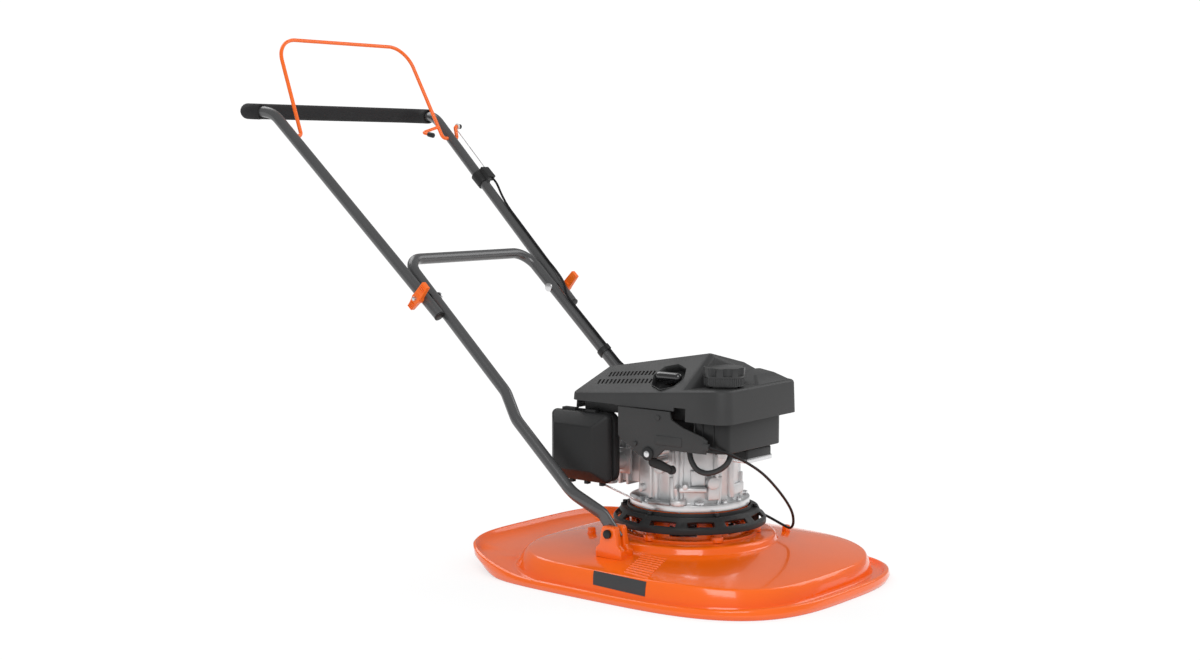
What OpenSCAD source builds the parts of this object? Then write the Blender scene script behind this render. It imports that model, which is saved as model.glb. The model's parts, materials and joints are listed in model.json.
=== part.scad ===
// Petrol hover mower: moulded hood, upright engine, folding tube handle with a dead man's bail.
// Sizes are in millimetres. +Z is up, the front of the hood faces -Y, the handle rises towards +Y.
// The origin is on the ground, at the middle of the whole mower.

/* [Hood] */
// Width over the rim
hood_w = 580; // [560:5:620]
// Reach of the rim in front of the crankshaft
hood_front = 350; // [340:5:370]
// Reach of the back lip behind the crankshaft
hood_back = 390; // [380:2:400]
// Wall of the moulding
hood_wall = 4; // [3:0.5:5]
// Height of the rolled rim at the sides
rim_h = 17; // [14:1:20]
// Height of the back lip
lip_h = 52; // [46:1:58]
// Clearance of the back lip above the ground
lip_lift = 26; // [20:1:28]
// Height of the crease round the dome
crease_h = 51; // [47:1:55]
// Height of the plinth under the air inlet
plinth_h = 81; // [79:1:90]
// Radius of the plinth's flat top
plinth_r = 157; // [155:1:162]
// Radius of the air eye through the hood
eye_r = 118; // [116:1:120]

/* [Air inlet] */
// Outer radius of the inlet ring
ring_r = 143; // [141:1:148]
// Radius of the ring's upper step
ring_step_r = 128; // [127:0.5:131]
// Inner radius of the ring
ring_inner_r = 114; // [113:0.5:115]
// Height of the ring
ring_h = 28; // [24:1:32]
// Air gap between the plinth and the ring
ring_gap = 19; // [14:1:20]
// Number of windows round the ring
window_count = 12; // [10:1:14]
// Radius of the circle of ring screws
ring_screw_circle = 122; // [121:0.5:123]
// Number of ring screws
ring_screw_count = 6; // [4:1:6]

/* [Engine] */
// Height of the engine platform over the plinth
platform_h = 54; // [50:1:60]
// Radius of the engine's mounting flange
flange_r = 112; // [110:1:113]
// Thickness of the mounting flange
flange_t = 12; // [10:1:15]
// Radius of the crankcase
case_r = 95; // [90:1:97]
// Height of the crankcase
case_h = 108; // [100:1:112]
// Wall of the crankcase casting
case_wall = 7; // [5:1:9]
// Diameter of the crankshaft
shaft_d = 25.4; // [22:0.2:28]
// Outer diameter of the flywheel
flywheel_d = 166; // [150:2:170]
// Radius of the circle of engine bolts
engine_bolt_circle = 103; // [102:0.5:104]
// Wall of the moulded engine covers
cover_wall = 3; // [2:0.5:4]
// Height of the crease round the top cover at its front
cover_crease_h = 373; // [368:1:378]
// Height of that crease at the cover's tail
cover_tail_h = 344; // [340:1:350]
// Height of the top cover's hump
cover_h = 424; // [418:1:430]

/* [Cutting] */
// Cutting diameter of the blade
blade_d = 510; // [460:5:515]
// Width of the blade bar
blade_w = 48; // [40:1:56]
// Thickness of the blade bar
blade_t = 4; // [3:0.5:5]
// Height of the blade's underside above the ground
blade_z = 24; // [22:1:28]
// Thickness of each cutting height spacer
spacer_t = 6; // [5:0.5:7]
// Diameter of the lift impeller
impeller_d = 292; // [260:2:300]
// Number of impeller vanes
vane_count = 12; // [8:1:16]

/* [Handle] */
// Outer diameter of the handle tube
tube_d = 22; // [20:0.5:24]
// Wall of the handle tube
tube_wall = 1.8; // [1.4:0.1:2.4]
// Slope of the handle
handle_slope = 42.3; // [40:0.1:45]
// Distance of the deck pivots from the side of the rim
pivot_inset = 95; // [90:1:100]
// Height of the deck pivots
pivot_z = 104; // [100:1:110]
// Half width of the lower handle at the fold
lower_x = 178; // [174:1:182]
// Half width of the upper handle at its lower ends
upper_x = 200; // [199:0.5:206]
// Half width of the upper handle at its top bend
top_x = 236; // [230:1:242]
// Height of the fold bolts
fold_z = 505; // [495:1:515]
// Distance of the fold bolts behind the crankshaft
fold_y = 490; // [480:1:500]
// Distance along the handle from the fold to the top bend
top_run = 541; // [520:1:560]
// Level run of the handle behind the top bend
level_run = 88; // [80:1:100]
// Outer diameter of the foam grip
grip_d = 33; // [30:1:36]

/* [Bail] */
// Diameter of the bail rod
bail_d = 8; // [7:0.5:9]
// Length of the bail from its pivots
bail_l = 224; // [200:1:240]
// Angle of the released bail above level
bail_angle = 64.5; // [60:0.5:70]
// Half width of the bail between its corners
bail_x = 186; // [176:1:192]
// Distance along the handle from the fold to the bail pivots
bail_run = 468; // [450:1:480]

/* [Fits] */
// Radial clearance of turning pins and shafts
run_fit = 0.05; // [0.02:0.01:0.1]
// Gap between separate moving pieces
gap = 0.4; // [0.3:0.1:0.8]

/* [Hidden] */
$fn = 48;

// Stack of levels up the crankshaft
ring_z = plinth_h + ring_gap;
flange_z = plinth_h + platform_h;
case_z = flange_z + flange_t;
case_top = case_z + case_h;
shaft_r = shaft_d / 2;
shaft_end = blade_z + blade_t + 2 * spacer_t;
shaft_bore = shaft_r + run_fit;
flywheel_z = case_top + 7;
flywheel_h = 30;
pulley_z = flywheel_z + flywheel_h + 24;
pulley_h = 16;
pulley_rope_r = 38;
frame_top = pulley_z + pulley_h + 8;

// Hood profile: rows run from the rim's foot over the dome to the air eye, and back below the wall
half_w = hood_w / 2;
pivot_x = half_w - pivot_inset;
ring_steps = 76;
lip_sharp = [0.66, 0.82];
lip_soft = [0.5, 0.95];

// Handle line in the Y Z plane, measured along the slope from the fold bolts
tube_r = tube_d / 2;
slope_y = cos(handle_slope);
slope_z = sin(handle_slope);
crossbar_run = 104;
kink_run = -255;
tail_run = -51;
pivot_y = 25;
leg_low = [pivot_x, 52, 136];
leg_mid = [pivot_x, 125, 166];
leg_jog = [pivot_x, 260, 287];
leg_kink = [lower_x, fold_y + kink_run * slope_y, fold_z + kink_run * slope_z];
leg_top = [lower_x, fold_y + crossbar_run * slope_y, fold_z + crossbar_run * slope_z];
leg_pivot = [pivot_x, pivot_y, pivot_z];
tail_past_pivot = 14;
ear_t = 6;
ear_in = tube_r + gap;
bolt_r = 5;
fold_r = 4;
bail_r = bail_d / 2;
grip_r = grip_d / 2;
wire_r = 1;
cable_r = 2.5;
cable_off = tube_r + cable_r + gap;

// Reach of the whole mower, which puts the origin at its middle
bar_y = fold_y + top_run * slope_y + level_run;
bar_z = fold_z + top_run * slope_z + 4;
crank_y = -(bar_y + grip_r - hood_front) / 2;

function unit(v) = v / norm(v);
function ease(t) = let (c = min(max(t, 0), 1)) c * c * (3 - 2 * c);
function side(p, s) = [s * p.x, p.y, p.z];
function on_upper(run, lift) = [
    upper_x + (top_x - upper_x) * (run - tail_run) / (top_run - tail_run),
    fold_y + run * slope_y - lift * slope_z, fold_z + run * slope_z + lift * slope_y];
function on_lower(run, lift) = [
    lower_x, fold_y + run * slope_y - lift * slope_z, fold_z + run * slope_z + lift * slope_y];

module about_crank() { translate([0, crank_y, 0]) children(); }
module around(count, radius, start = 0) {
    for (i = [0:count - 1]) rotate(start + 360 * i / count) translate([radius, 0, 0]) children();
}

// Straight bars between points, and bars or tubes swept along a centre line with round bends
bend_step = 13;
module along(p, q) {
    d = q - p;
    translate(p) rotate([0, acos(d.z / norm(d)), atan2(d.y, d.x)]) children();
}
module rod(p, q, r) { along(p, q) cylinder(h = norm(q - p), r = r); }
function turn_at(p, q, s) = acos(unit(q - p) * unit(s - q));
function setback(p, q, s, bend) = bend * tan(turn_at(p, q, s) / 2);
function arc(p, q, s, bend) = let (u = unit(q - p), v = unit(s - q), turn = turn_at(p, q, s),
    m = unit(v - u * (u * v)), c = q - u * setback(p, q, s, bend) + m * bend, n = ceil(turn / bend_step))
    [for (k = [0:n]) c + bend * (sin(turn * k / n) * u - cos(turn * k / n) * m)];
function bent(pts, bends) = [
    pts[0], for (i = [1:len(pts) - 2]) each arc(pts[i - 1], pts[i], pts[i + 1], bends[i]), pts[len(pts) - 1]];
function tangent(p, i) = i == 0 ? unit(p[1] - p[0]) : i == len(p) - 1 ? unit(p[i] - p[i - 1])
    : unit(unit(p[i + 1] - p[i]) + unit(p[i] - p[i - 1]));
function hoops(line, r, up, sides) = [
    for (i = [0:len(line) - 1]) let (t = tangent(line, i), a = unit(cross(t, up)), b = cross(a, t))
        for (k = [0:sides - 1]) line[i] + r * (cos(360 * k / sides) * a + sin(360 * k / sides) * b)];
function strip(a, b, sides) = [for (k = [0:sides - 1]) let (m = (k + 1) % sides)
    each [[a + k, a + m, b + m], [a + k, b + m, b + k]]];
module bar(line, r, up, sides) {
    last = (len(line) - 1) * sides;
    walls = [for (i = [0:len(line) - 2]) each strip(i * sides, (i + 1) * sides, sides)];
    caps = [for (k = [1:sides - 2]) each [[0, k + 1, k], [last, last + k, last + k + 1]]];
    polyhedron(hoops(line, r, up, sides), concat(walls, caps));
}
module tube(line, r, bore, up, sides) {
    count = len(line) * sides;
    last = count - sides;
    outer = [for (i = [0:len(line) - 2]) each strip(i * sides, (i + 1) * sides, sides)];
    inner = [for (i = [0:len(line) - 2]) each strip(count + (i + 1) * sides, count + i * sides, sides)];
    ends = concat(strip(count, 0, sides), strip(last, count + last, sides));
    polyhedron(concat(hoops(line, r, up, sides), hoops(line, bore, up, sides)), concat(outer, inner, ends));
}

// Flexible cable: one smooth tube swept through its route points
function smooth(p, steps) = [
    for (i = [0:len(p) - 2]) let (a = p[max(i - 1, 0)], b = p[i], c = p[i + 1], d = p[min(i + 2, len(p) - 1)])
        for (k = [0:steps - 1]) let (t = k / steps)
            0.5 * (2 * b + (c - a) * t + (2 * a - 5 * b + 4 * c - d) * pow(t, 2)
                + (3 * b - a - 3 * c + d) * pow(t, 3)),
    p[len(p) - 1]];
module cable(route, r, steps, up, sides = 8) { bar(smooth(route, steps), r, up, sides); }

// Route points of the brake cable and the leads, chosen by hand, from the crankshaft axis
loop_route = [on_lower(-230, cable_off), [182, 258, 318], [180, 215, 256], [176, 165, 198], [172, 110, 152],
    [166, 50, 122], [154, -20, 106], [138, -85, 94], [124, -128, 86], [112, -152, 86], [106, -162, 100],
    [88, -168, 126], [40, -176, 165], [-28, -184, 210], [-91, -186, 242], [-136, -178, 262],
    [-151, -152.4, 271]];
hose_route = [[-106, -165, 257], [-108, -166, 249], [-114, -165, 240], [-117.7, -158.9, 232.3],
    [-121, -150, 226], [-123.9, -139.4, 221.5], [-126, -128, 219.5], [-126.9, -117, 220.8],
    [-127, -107, 225], [-126.2, -99, 232.7], [-125, -93, 242], [-124, -90.8, 248],
    [-123.2, -89.4, 253], [-122.5, -88.5, 257], [-122, -88, 261]];
lead_route = [[100, 56.6, 290], [101.6, 65.9, 293.7], [102, 84, 298], [98.9, 115.1, 301.7], [92, 150, 303],
    [79.8, 180.2, 300.9], [64, 208, 292], [44.6, 234, 268.2], [26, 254, 242], [12.9, 262.8, 224.2],
    [4, 264, 212], [0.6, 259.1, 207.6], [0, 250, 207], [-0.2, 237.3, 206.7], [0, 226.4, 207]];

// One ring of the hood. A row holds the inset from the rim at side, front and back, the height at side,
// front and back, and how square the ring is in front of the crankshaft and behind it.
function rim_ring(row, blend) = let (w = half_w - row[0], f = hood_front - row[1], b = hood_back - row[2])
    [for (i = [0:ring_steps - 1])
        let (a = 360 * i / ring_steps, l = sin(a) > 0 ? b : f, n = sin(a) > 0 ? row[7] : row[6],
            r = 1 / pow(pow(abs(cos(a)) / w, n) + pow(abs(sin(a)) / l, n), 1 / n),
            back = ease((sin(a) - blend[0]) / (blend[1] - blend[0])),
            front = ease((-sin(a) - blend[0]) / (blend[1] - blend[0])))
        [r * cos(a), r * sin(a), row[3] + (row[4] - row[3]) * front + (row[5] - row[3]) * back]];
function round_ring(r, z) = [
    for (i = [0:ring_steps - 1]) let (a = 360 * i / ring_steps) [r * cos(a), r * sin(a), z]];
dome_rise = (plinth_h - 14 - crease_h) / 3;
dome_low = crease_h + dome_rise;
dome_high = crease_h + 2 * dome_rise;
gutter_h = rim_h - 6;
apron_h = lip_lift + 3;
moat_h = apron_h - 6;
under = hood_wall;
function hood_rings() = [
    rim_ring([4, 4, 11, 0, 0, lip_lift, 3.3, 4], lip_sharp),
    rim_ring([0, 0, 5, rim_h / 2, rim_h / 2, lip_lift + 9, 3.3, 4], lip_soft),
    rim_ring([2, 2, 0, rim_h - 2, rim_h + 2, lip_h - 2, 3.3, 4], lip_soft),
    rim_ring([7, 7, 4, rim_h, rim_h + 4, lip_h, 3.3, 4], lip_soft),
    rim_ring([11, 15, 13, gutter_h, gutter_h, apron_h + 2, 3.3, 4], lip_soft),
    rim_ring([13, 30, 96, gutter_h, gutter_h, apron_h, 3.3, 3.7], lip_soft),
    rim_ring([16, 34, 106, gutter_h, gutter_h - 1, moat_h, 3.3, 3.7], lip_soft),
    rim_ring([21, 39, 118, crease_h - 9, crease_h - 16, crease_h - 4, 3.2, 3.4], lip_soft),
    rim_ring([25, 44, 125, crease_h - 2, crease_h - 9, crease_h + 2, 3.2, 3.3], lip_soft),
    rim_ring([31, 51, 132, crease_h, crease_h - 7, crease_h + 4, 3.1, 3.1], lip_soft),
    rim_ring([55, 80, 154, dome_low, crease_h, dome_low + 2, 2.7, 2.7], lip_soft),
    rim_ring([90, 135, 190, dome_high, dome_high - 3, dome_high + 1, 2.2, 2.2], lip_soft),
    round_ring(plinth_r + 13, plinth_h - 15),
    round_ring(plinth_r + 8, plinth_h - 13),
    round_ring(plinth_r + 4, plinth_h - 3),
    round_ring(plinth_r, plinth_h),
    round_ring(eye_r, plinth_h),
    round_ring(eye_r, plinth_h - under),
    round_ring(plinth_r - 4, plinth_h - under),
    round_ring(plinth_r, plinth_h - under - 3),
    round_ring(plinth_r + 4, plinth_h - under - 13),
    round_ring(plinth_r + 11, plinth_h - under - 16),
    rim_ring([92, 137, 192, dome_high - under, dome_high - under - 3, dome_high - under + 1, 2.2, 2.2],
        lip_soft),
    rim_ring([56, 81, 155, dome_low - under, crease_h - under, dome_low + 2 - under, 2.7, 2.7], lip_soft),
    rim_ring([33, 54, 135, crease_h - under, crease_h - 7 - under, crease_h + 4 - under, 3.1, 3.1], lip_soft),
    rim_ring([29, 48, 129, crease_h - 2 - under, crease_h - 9 - under, crease_h + 2 - under, 3.2, 3.3],
        lip_soft),
    rim_ring([25, 43, 124, crease_h - 9 - under, crease_h - 16 - under, crease_h - 4 - under, 3.2, 3.4],
        lip_soft),
    rim_ring([20, 38, 110, gutter_h - under, gutter_h - 1 - under, moat_h - under, 3.3, 3.7], lip_soft),
    rim_ring([16, 28, 94, gutter_h - under, gutter_h - under, apron_h - under, 3.3, 3.7], lip_soft),
    rim_ring([12, 16, 22, gutter_h - under, gutter_h - under, apron_h + 1.5 - under, 3.3, 4], lip_soft),
    rim_ring([9, 9, 16, 0, 0, lip_lift, 3.3, 4], lip_sharp)];

// Glossy moulded hood with a rolled rim, a raised back lip and a low dome
module deck_hood() {
    rings = hood_rings();
    count = len(rings);
    pts = [for (ring = rings) each ring];
    tris = [for (i = [0:count - 1], k = [0:ring_steps - 1])
        let (j = (i + 1) % count, m = (k + 1) % ring_steps, a = i * ring_steps, b = j * ring_steps)
        each [[a + k, b + m, a + m], [a + k, b + k, b + m]]];
    about_crank() color("orangered") polyhedron(pts, tris);
}

// Moulded turret that carries the engine over the air eye, with the posts for the inlet ring
platform_t = 8;
turret_out = flange_r - 3;
turret_in = turret_out - 8;
base_t = 4;
post_r = 9;
boss_r = 12;
screw_r = 2.2;
engine_bolt_r = 4;
engine_bolt_count = 4;
module engine_platform() {
    about_crank() color("orangered") difference() {
        union() {
            translate([0, 0, flange_z - platform_t]) cylinder(h = platform_t, r = turret_out);
            translate([0, 0, plinth_h]) cylinder(h = platform_h - 1, r = turret_out);
            translate([0, 0, plinth_h]) cylinder(h = base_t, r = ring_screw_circle + 6);
            around(ring_screw_count, ring_screw_circle) {
                translate([0, 0, plinth_h + 1]) cylinder(h = base_t + ring_gap / 3, r = boss_r);
                translate([0, 0, plinth_h + 1]) cylinder(h = ring_gap - 1, r = post_r);
            }
        }
        translate([0, 0, plinth_h - 1]) cylinder(h = platform_h - platform_t + 1, r = turret_in);
        cylinder(h = flange_z + 1, r = shaft_r + 22);
        around(ring_screw_count, turret_in - 6, 30)
            translate([0, -turret_in / 4, plinth_h + base_t + 4])
                cube([30, turret_in / 2, platform_h - platform_t - 14]);
        for (i = [0:ring_screw_count - 1]) rotate(360 * i / ring_screw_count + 12)
            translate([0, 0, plinth_h - 1]) rotate_extrude(angle = 360 / ring_screw_count - 24)
                translate([turret_out + 1, 0]) square([eye_r - turret_out - 2, base_t + 2]);
        around(ring_screw_count, ring_screw_circle) translate([0, 0, plinth_h + 2])
            cylinder(h = ring_gap + base_t, r = screw_r + run_fit);
        around(engine_bolt_count, engine_bolt_circle, 45) translate([0, 0, flange_z - platform_t])
            cylinder(h = platform_t + 1, r = engine_bolt_r + run_fit);
    }
}

// Black slotted ring that guards the air inlet: an upright lip, a slope with the windows and a flat step
ring_shell = 4;
window_wide = 0.66;
window_tall = 11;
ring_curb = 3;
module intake_ring() {
    top = ring_z + ring_h;
    curb_top = flange_z - 1.5;
    lip = [ring_r - 4, ring_z + 14];
    step = [ring_step_r + 3, top - 6];
    slope_mid = (lip + step) / 2;
    wide = 2 * PI * ring_r / window_count * window_wide;
    about_crank() color("#26282a") difference() {
        union() {
            rotate_extrude($fn = 96) polygon([[ring_r, ring_z], [ring_r, ring_z + 9], lip, step,
                [ring_step_r, top], [ring_inner_r + ring_curb, top], [ring_inner_r + ring_curb, curb_top],
                [ring_inner_r, curb_top], [ring_inner_r, top - ring_shell],
                [ring_step_r - ring_shell, top - ring_shell], step - [5, 3], lip - [4, 3],
                [ring_r - ring_shell, ring_z + 7], [ring_r - ring_shell, ring_z]]);
            around(ring_screw_count, ring_screw_circle) translate([0, 0, ring_z])
                cylinder(h = ring_h, r = post_r - 1);
        }
        around(window_count, slope_mid.x, 15) translate([0, 0, slope_mid.y])
            rotate([0, -atan2(lip.x - step.x, step.y - lip.y), 0])
            cube([16, wide, window_tall], center = true);
        around(ring_screw_count, ring_screw_circle) translate([0, 0, ring_z - 1])
            cylinder(h = ring_h + 2, r = screw_r + 0.3);
    }
}
module ring_screws() {
    about_crank() color("#1c1c1c") around(ring_screw_count, ring_screw_circle) {
        translate([0, 0, ring_z + ring_h]) cylinder(h = 6, r = 4.5);
        translate([0, 0, plinth_h + 5]) cylinder(h = ring_z + ring_h - plinth_h - 4, r = screw_r);
    }
}

// Moulded bracket of two ears that takes the foot of one handle leg
ear_top = 12;
ear_low = 20;
ear_foot = 29;
module pivot_bracket(s) {
    foot_z = crease_h + 9;
    about_crank() color("orangered") translate([s * pivot_x, pivot_y, 0]) difference() {
        union() {
            for (e = [-1, 1]) translate([e * (ear_in + ear_t / 2) - ear_t / 2, 0, 0]) rotate([90, 0, 90])
                linear_extrude(ear_t) polygon([[-ear_top, pivot_z + 13], [-ear_top - 3, pivot_z + 9],
                    [-ear_low, pivot_z - 20], [-ear_foot, pivot_z - 28], [-ear_foot, foot_z],
                    [ear_foot, foot_z], [ear_foot, pivot_z - 28], [ear_low, pivot_z - 20],
                    [ear_top + 3, pivot_z + 9], [ear_top, pivot_z + 13]]);
            translate([-ear_in - ear_t, -ear_foot, foot_z])
                cube([2 * (ear_in + ear_t), 2 * ear_foot, pivot_z - 30 - foot_z]);
        }
        translate([-50, 0, pivot_z]) rotate([0, 90, 0]) cylinder(h = 100, r = bolt_r + run_fit);
    }
}
module pivot_bracket_right() { pivot_bracket(-1); }
module pivot_bracket_left() { pivot_bracket(1); }
module pivot_bolts() {
    out = ear_in + ear_t;
    about_crank() color("#202224") for (s = [-1, 1])
        translate([s * pivot_x, pivot_y, pivot_z]) rotate([0, s * 90, 0]) {
        translate([0, 0, out]) cylinder(h = 6, r = 8);
        translate([0, 0, -out - 9]) cylinder(h = 2 * out + 10, r = bolt_r);
    }
}
module pivot_nuts() {
    out = ear_in + ear_t;
    about_crank() color("silver") for (s = [-1, 1])
        translate([s * pivot_x, pivot_y, pivot_z]) rotate([0, s * 90, 0])
        translate([0, 0, -out - 8]) difference() {
            cylinder(h = 8, r = 8.7, $fn = 6);
            translate([0, 0, -1]) cylinder(h = 10, r = bolt_r + run_fit);
        }
}

// Cast engine: sump flange, crankcase with its finned barrel, valve cover and plug
module sump_flange() {
    about_crank() color("#c9cbcc") difference() {
        translate([0, 0, flange_z]) cylinder(h = flange_t, r = flange_r, $fn = 96);
        translate([0, 0, flange_z - 1]) cylinder(h = flange_t + 2, r = shaft_bore);
        around(engine_bolt_count, engine_bolt_circle, 45) translate([0, 0, flange_z - 1])
            cylinder(h = flange_t + 2, r = engine_bolt_r + run_fit);
    }
}
module engine_bolts() {
    about_crank() color("silver") around(engine_bolt_count, engine_bolt_circle, 45) {
        translate([0, 0, case_z]) cylinder(h = 6, r = 7, $fn = 6);
        translate([0, 0, flange_z - platform_t]) cylinder(h = platform_t + flange_t + 1, r = engine_bolt_r);
    }
}
barrel_z = case_z + 60;
barrel_y = 200;
barrel_w = 100;
fin_count = 5;
stud_lug_r = 6;
stud_lugs = [15, 160, 197, 250, 292, 335];
oil_turn = 355;
module crankcase() {
    about_crank() color("#c4c6c8") difference() {
        union() {
            translate([0, 0, case_z]) cylinder(h = case_h, r = case_r, $fn = 96);
            for (a = stud_lugs) rotate(a) translate([case_r, 0, case_z])
                cylinder(h = case_h * 0.45, r = stud_lug_r);
            translate([-barrel_w / 2 + 8, 0, barrel_z - 40]) cube([barrel_w - 16, barrel_y, 80]);
            for (i = [0:fin_count - 1]) translate([-barrel_w / 2, case_r + 12 + i * 19, barrel_z - 46])
                cube([barrel_w, 5, 92]);
            translate([-barrel_w / 2, barrel_y - 8, barrel_z - 46]) cube([barrel_w, 8, 92]);
            translate([-40, -case_r - 14, case_top - 24]) cube([70, 40, 27]);
            translate([panel_back, post_y, post_z]) rotate([0, 90, 0]) cylinder(h = 70, r = 7);
            translate([valve_x, lever_y, lever_z]) rotate([0, 90, 0]) cylinder(h = 60, r = lever_hub);
            translate([valve_x - 8, lever_y, lever_z]) rotate([0, 90, 0]) cylinder(h = 20, r = arm_pin_r);
            translate([60, 22, case_top - 30]) cube([50, 30, 34]);
        }
        translate([0, 0, case_z - 1]) cylinder(h = case_h - case_wall + 1, r = case_r - case_wall);
        translate([0, 0, case_top - 20]) cylinder(h = 40, r = shaft_bore);
        translate([0, 20, barrel_z]) rotate([-90, 0, 0]) cylinder(h = barrel_y - 40, r = 30);
        translate([0, barrel_y - 10, barrel_z]) rotate([-90, 0, 0]) cylinder(h = 20, r = 5 + run_fit);
        translate([panel_back - 1, post_y, post_z]) rotate([0, 90, 0])
            cylinder(h = 30, r = arm_pin_r + run_fit);
        rotate(oil_turn) translate([case_r - case_wall - 1, 0, case_z + 50]) rotate([0, 90, 0])
            cylinder(h = 20, r = 11 + run_fit);
    }
}
module valve_cover() {
    about_crank() color("#b4b6b8") difference() {
        translate([0, barrel_y, barrel_z]) rotate([-90, 0, 0]) translate([-42, -38, 0]) cube([84, 76, 22]);
        translate([0, barrel_y - 1, barrel_z]) rotate([-90, 0, 0]) cylinder(h = 40, r = 13);
    }
}
module spark_plug() {
    about_crank() color("#dddddd") translate([0, barrel_y, barrel_z]) rotate([-90, 0, 0]) {
        translate([0, 0, -9]) cylinder(h = 10, r = 5);
        cylinder(h = 10, r = 10.4, $fn = 6);
        cylinder(h = 26, r = 6);
    }
}

// Ignition coil beside the flywheel, with its lead to the plug
coil_z = case_top + 4;
module ignition_coil() {
    about_crank() color("#303234") difference() {
        translate([flywheel_d / 2 + 3, 18, coil_z]) cube([26, 38, 40]);
        translate([0, 0, coil_z - 1]) cylinder(h = 50, r = flywheel_d / 2 + 1);
    }
}
module plug_lead() { about_crank() color("#1a1a1a") cable(lead_route, 3.5, 2, [0, 0, 1]); }

// Carburettor between the barrel and the air box
carb_y = 122;
box_back = -112;
box_seam = -128;
box_face = -168;
module carburettor() {
    about_crank() color("#a9abad") {
        translate([box_back, carb_y, barrel_z]) rotate([0, 90, 0])
            cylinder(h = -box_back - barrel_w / 2, r = 17);
        translate([-barrel_w / 2 - 6, carb_y - 24, barrel_z - 24]) cube([6, 48, 48]);
        translate([box_back + 24, carb_y, barrel_z - 38]) cylinder(h = 40, r = 16);
    }
}

// Air box: tray on the carburettor, paper element and clip-on cover
box_low = [78, 177];
box_high = [216, 308];
box_round = 20;
module box_slab(x0, x1, inset) {
    r = box_round - min(inset, box_round - 4);
    edge = inset + r;
    hull() for (y = [box_low.x + edge, box_high.x - edge], z = [box_low.y + edge, box_high.y - edge])
        translate([x0, y, z]) rotate([0, 90, 0]) cylinder(h = x1 - x0, r = r, $fn = 32);
}
module air_box_base() { about_crank() color("#232527") box_slab(box_seam, box_back, 0); }
module air_filter() {
    about_crank() color("#d8c9a0") translate([box_seam - 22, box_low.x + 16, box_low.y + 18])
        cube([22, box_high.x - box_low.x - 32, box_high.y - box_low.y - 36]);
}
module air_box_cover() {
    about_crank() color("#2b2d2f") difference() {
        union() {
            box_slab(box_face + 14, box_seam, 0);
            hull() {
                box_slab(box_face + 13, box_face + 14, 0);
                box_slab(box_face, box_face + 1, 11);
            }
            for (tab = [[114, 24], [163, 31]]) translate([box_seam - 12, tab[0], box_high.y - 2])
                cube([12, tab[1], 6]);
        }
        box_slab(box_face + 13, box_seam + 1, cover_wall);
    }
}

// Exhaust box with its slotted heat guard, on the far side of the barrel
muffler_x = 150;
module muffler_shell(inset) {
    hull() for (x = [74, muffler_x - 18], z = [193, 267])
        translate([x, 95 + inset, z]) rotate([-90, 0, 0])
            cylinder(h = 90 - 2 * inset, r = 18 - inset, $fn = 32);
}
module muffler() {
    about_crank() color("#8d8f91") difference() {
        union() {
            muffler_shell(0);
            translate([barrel_w / 2, 140, barrel_z]) rotate([0, 90, 0]) cylinder(h = 20, r = 14);
        }
        muffler_shell(2);
        translate([barrel_w / 2 - 1, 140, barrel_z]) rotate([0, 90, 0]) cylinder(h = 20, r = 11);
    }
}
module muffler_guard() {
    about_crank() color("#6f7173") difference() {
        translate([muffler_x, 92, 180]) cube([2, 96, 100]);
        for (i = [0:6]) translate([muffler_x - 1, 104, 188 + i * 13]) cube([4, 72, 6]);
    }
}

// Moulded fuel tank under the front of the cover, with its filler neck and the shoe below it
tank_x = [-138, 46];
tank_y = [-176, -100];
tank_z = case_top + 3;
tank_top = 314;
neck = [-93, -142];
neck_r = 24;
neck_top = cover_crease_h + 16;
module tank_block(inset, z0, z1) {
    r = 18 - inset;
    hull() for (x = [tank_x[0] + 18, tank_x[1] - 18], y = [tank_y[0] + 18, tank_y[1] - 18])
        translate([x, y, z0]) cylinder(h = z1 - z0, r = r, $fn = 32);
}
module fuel_tank() {
    about_crank() color("#2a2c2e") difference() {
        union() {
            tank_block(0, tank_z, tank_top);
            translate([neck.x, neck.y, tank_top - 1]) cylinder(h = neck_top - tank_top + 1, r = neck_r);
        }
        tank_block(cover_wall, tank_z + cover_wall, tank_top - cover_wall);
        translate([neck.x, neck.y, tank_top - 10])
            cylinder(h = neck_top - tank_top + 20, r = neck_r - cover_wall);
    }
}
module tank_shoe() {
    about_crank() color("#1d1f20") translate([-66, tank_y[0] + 2, tank_z - 24]) cube([78, 34, 24]);
}
module fuel_hose() { about_crank() color("#3a3c3e") cable(hose_route, 5, 2, [1, 0, 0], 12); }
cap_r = 37;
cap_z = cover_crease_h + 2;
cap_h = 32;
module fuel_cap() {
    about_crank() color("#2e3032") translate([neck.x, neck.y, 0]) difference() {
        union() {
            translate([0, 0, cap_z]) cylinder(h = cap_h / 2, r = cap_r - 2);
            translate([0, 0, cap_z + cap_h / 2]) cylinder(h = cap_h / 2, r = cap_r);
        }
        translate([0, 0, cap_z - 1]) cylinder(h = neck_top - cap_z + 1 + gap, r = neck_r + gap);
        around(8, cap_r + 6) translate([0, 0, cap_z + cap_h / 2 + 2]) cylinder(h = cap_h, r = 11);
    }
}

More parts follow.
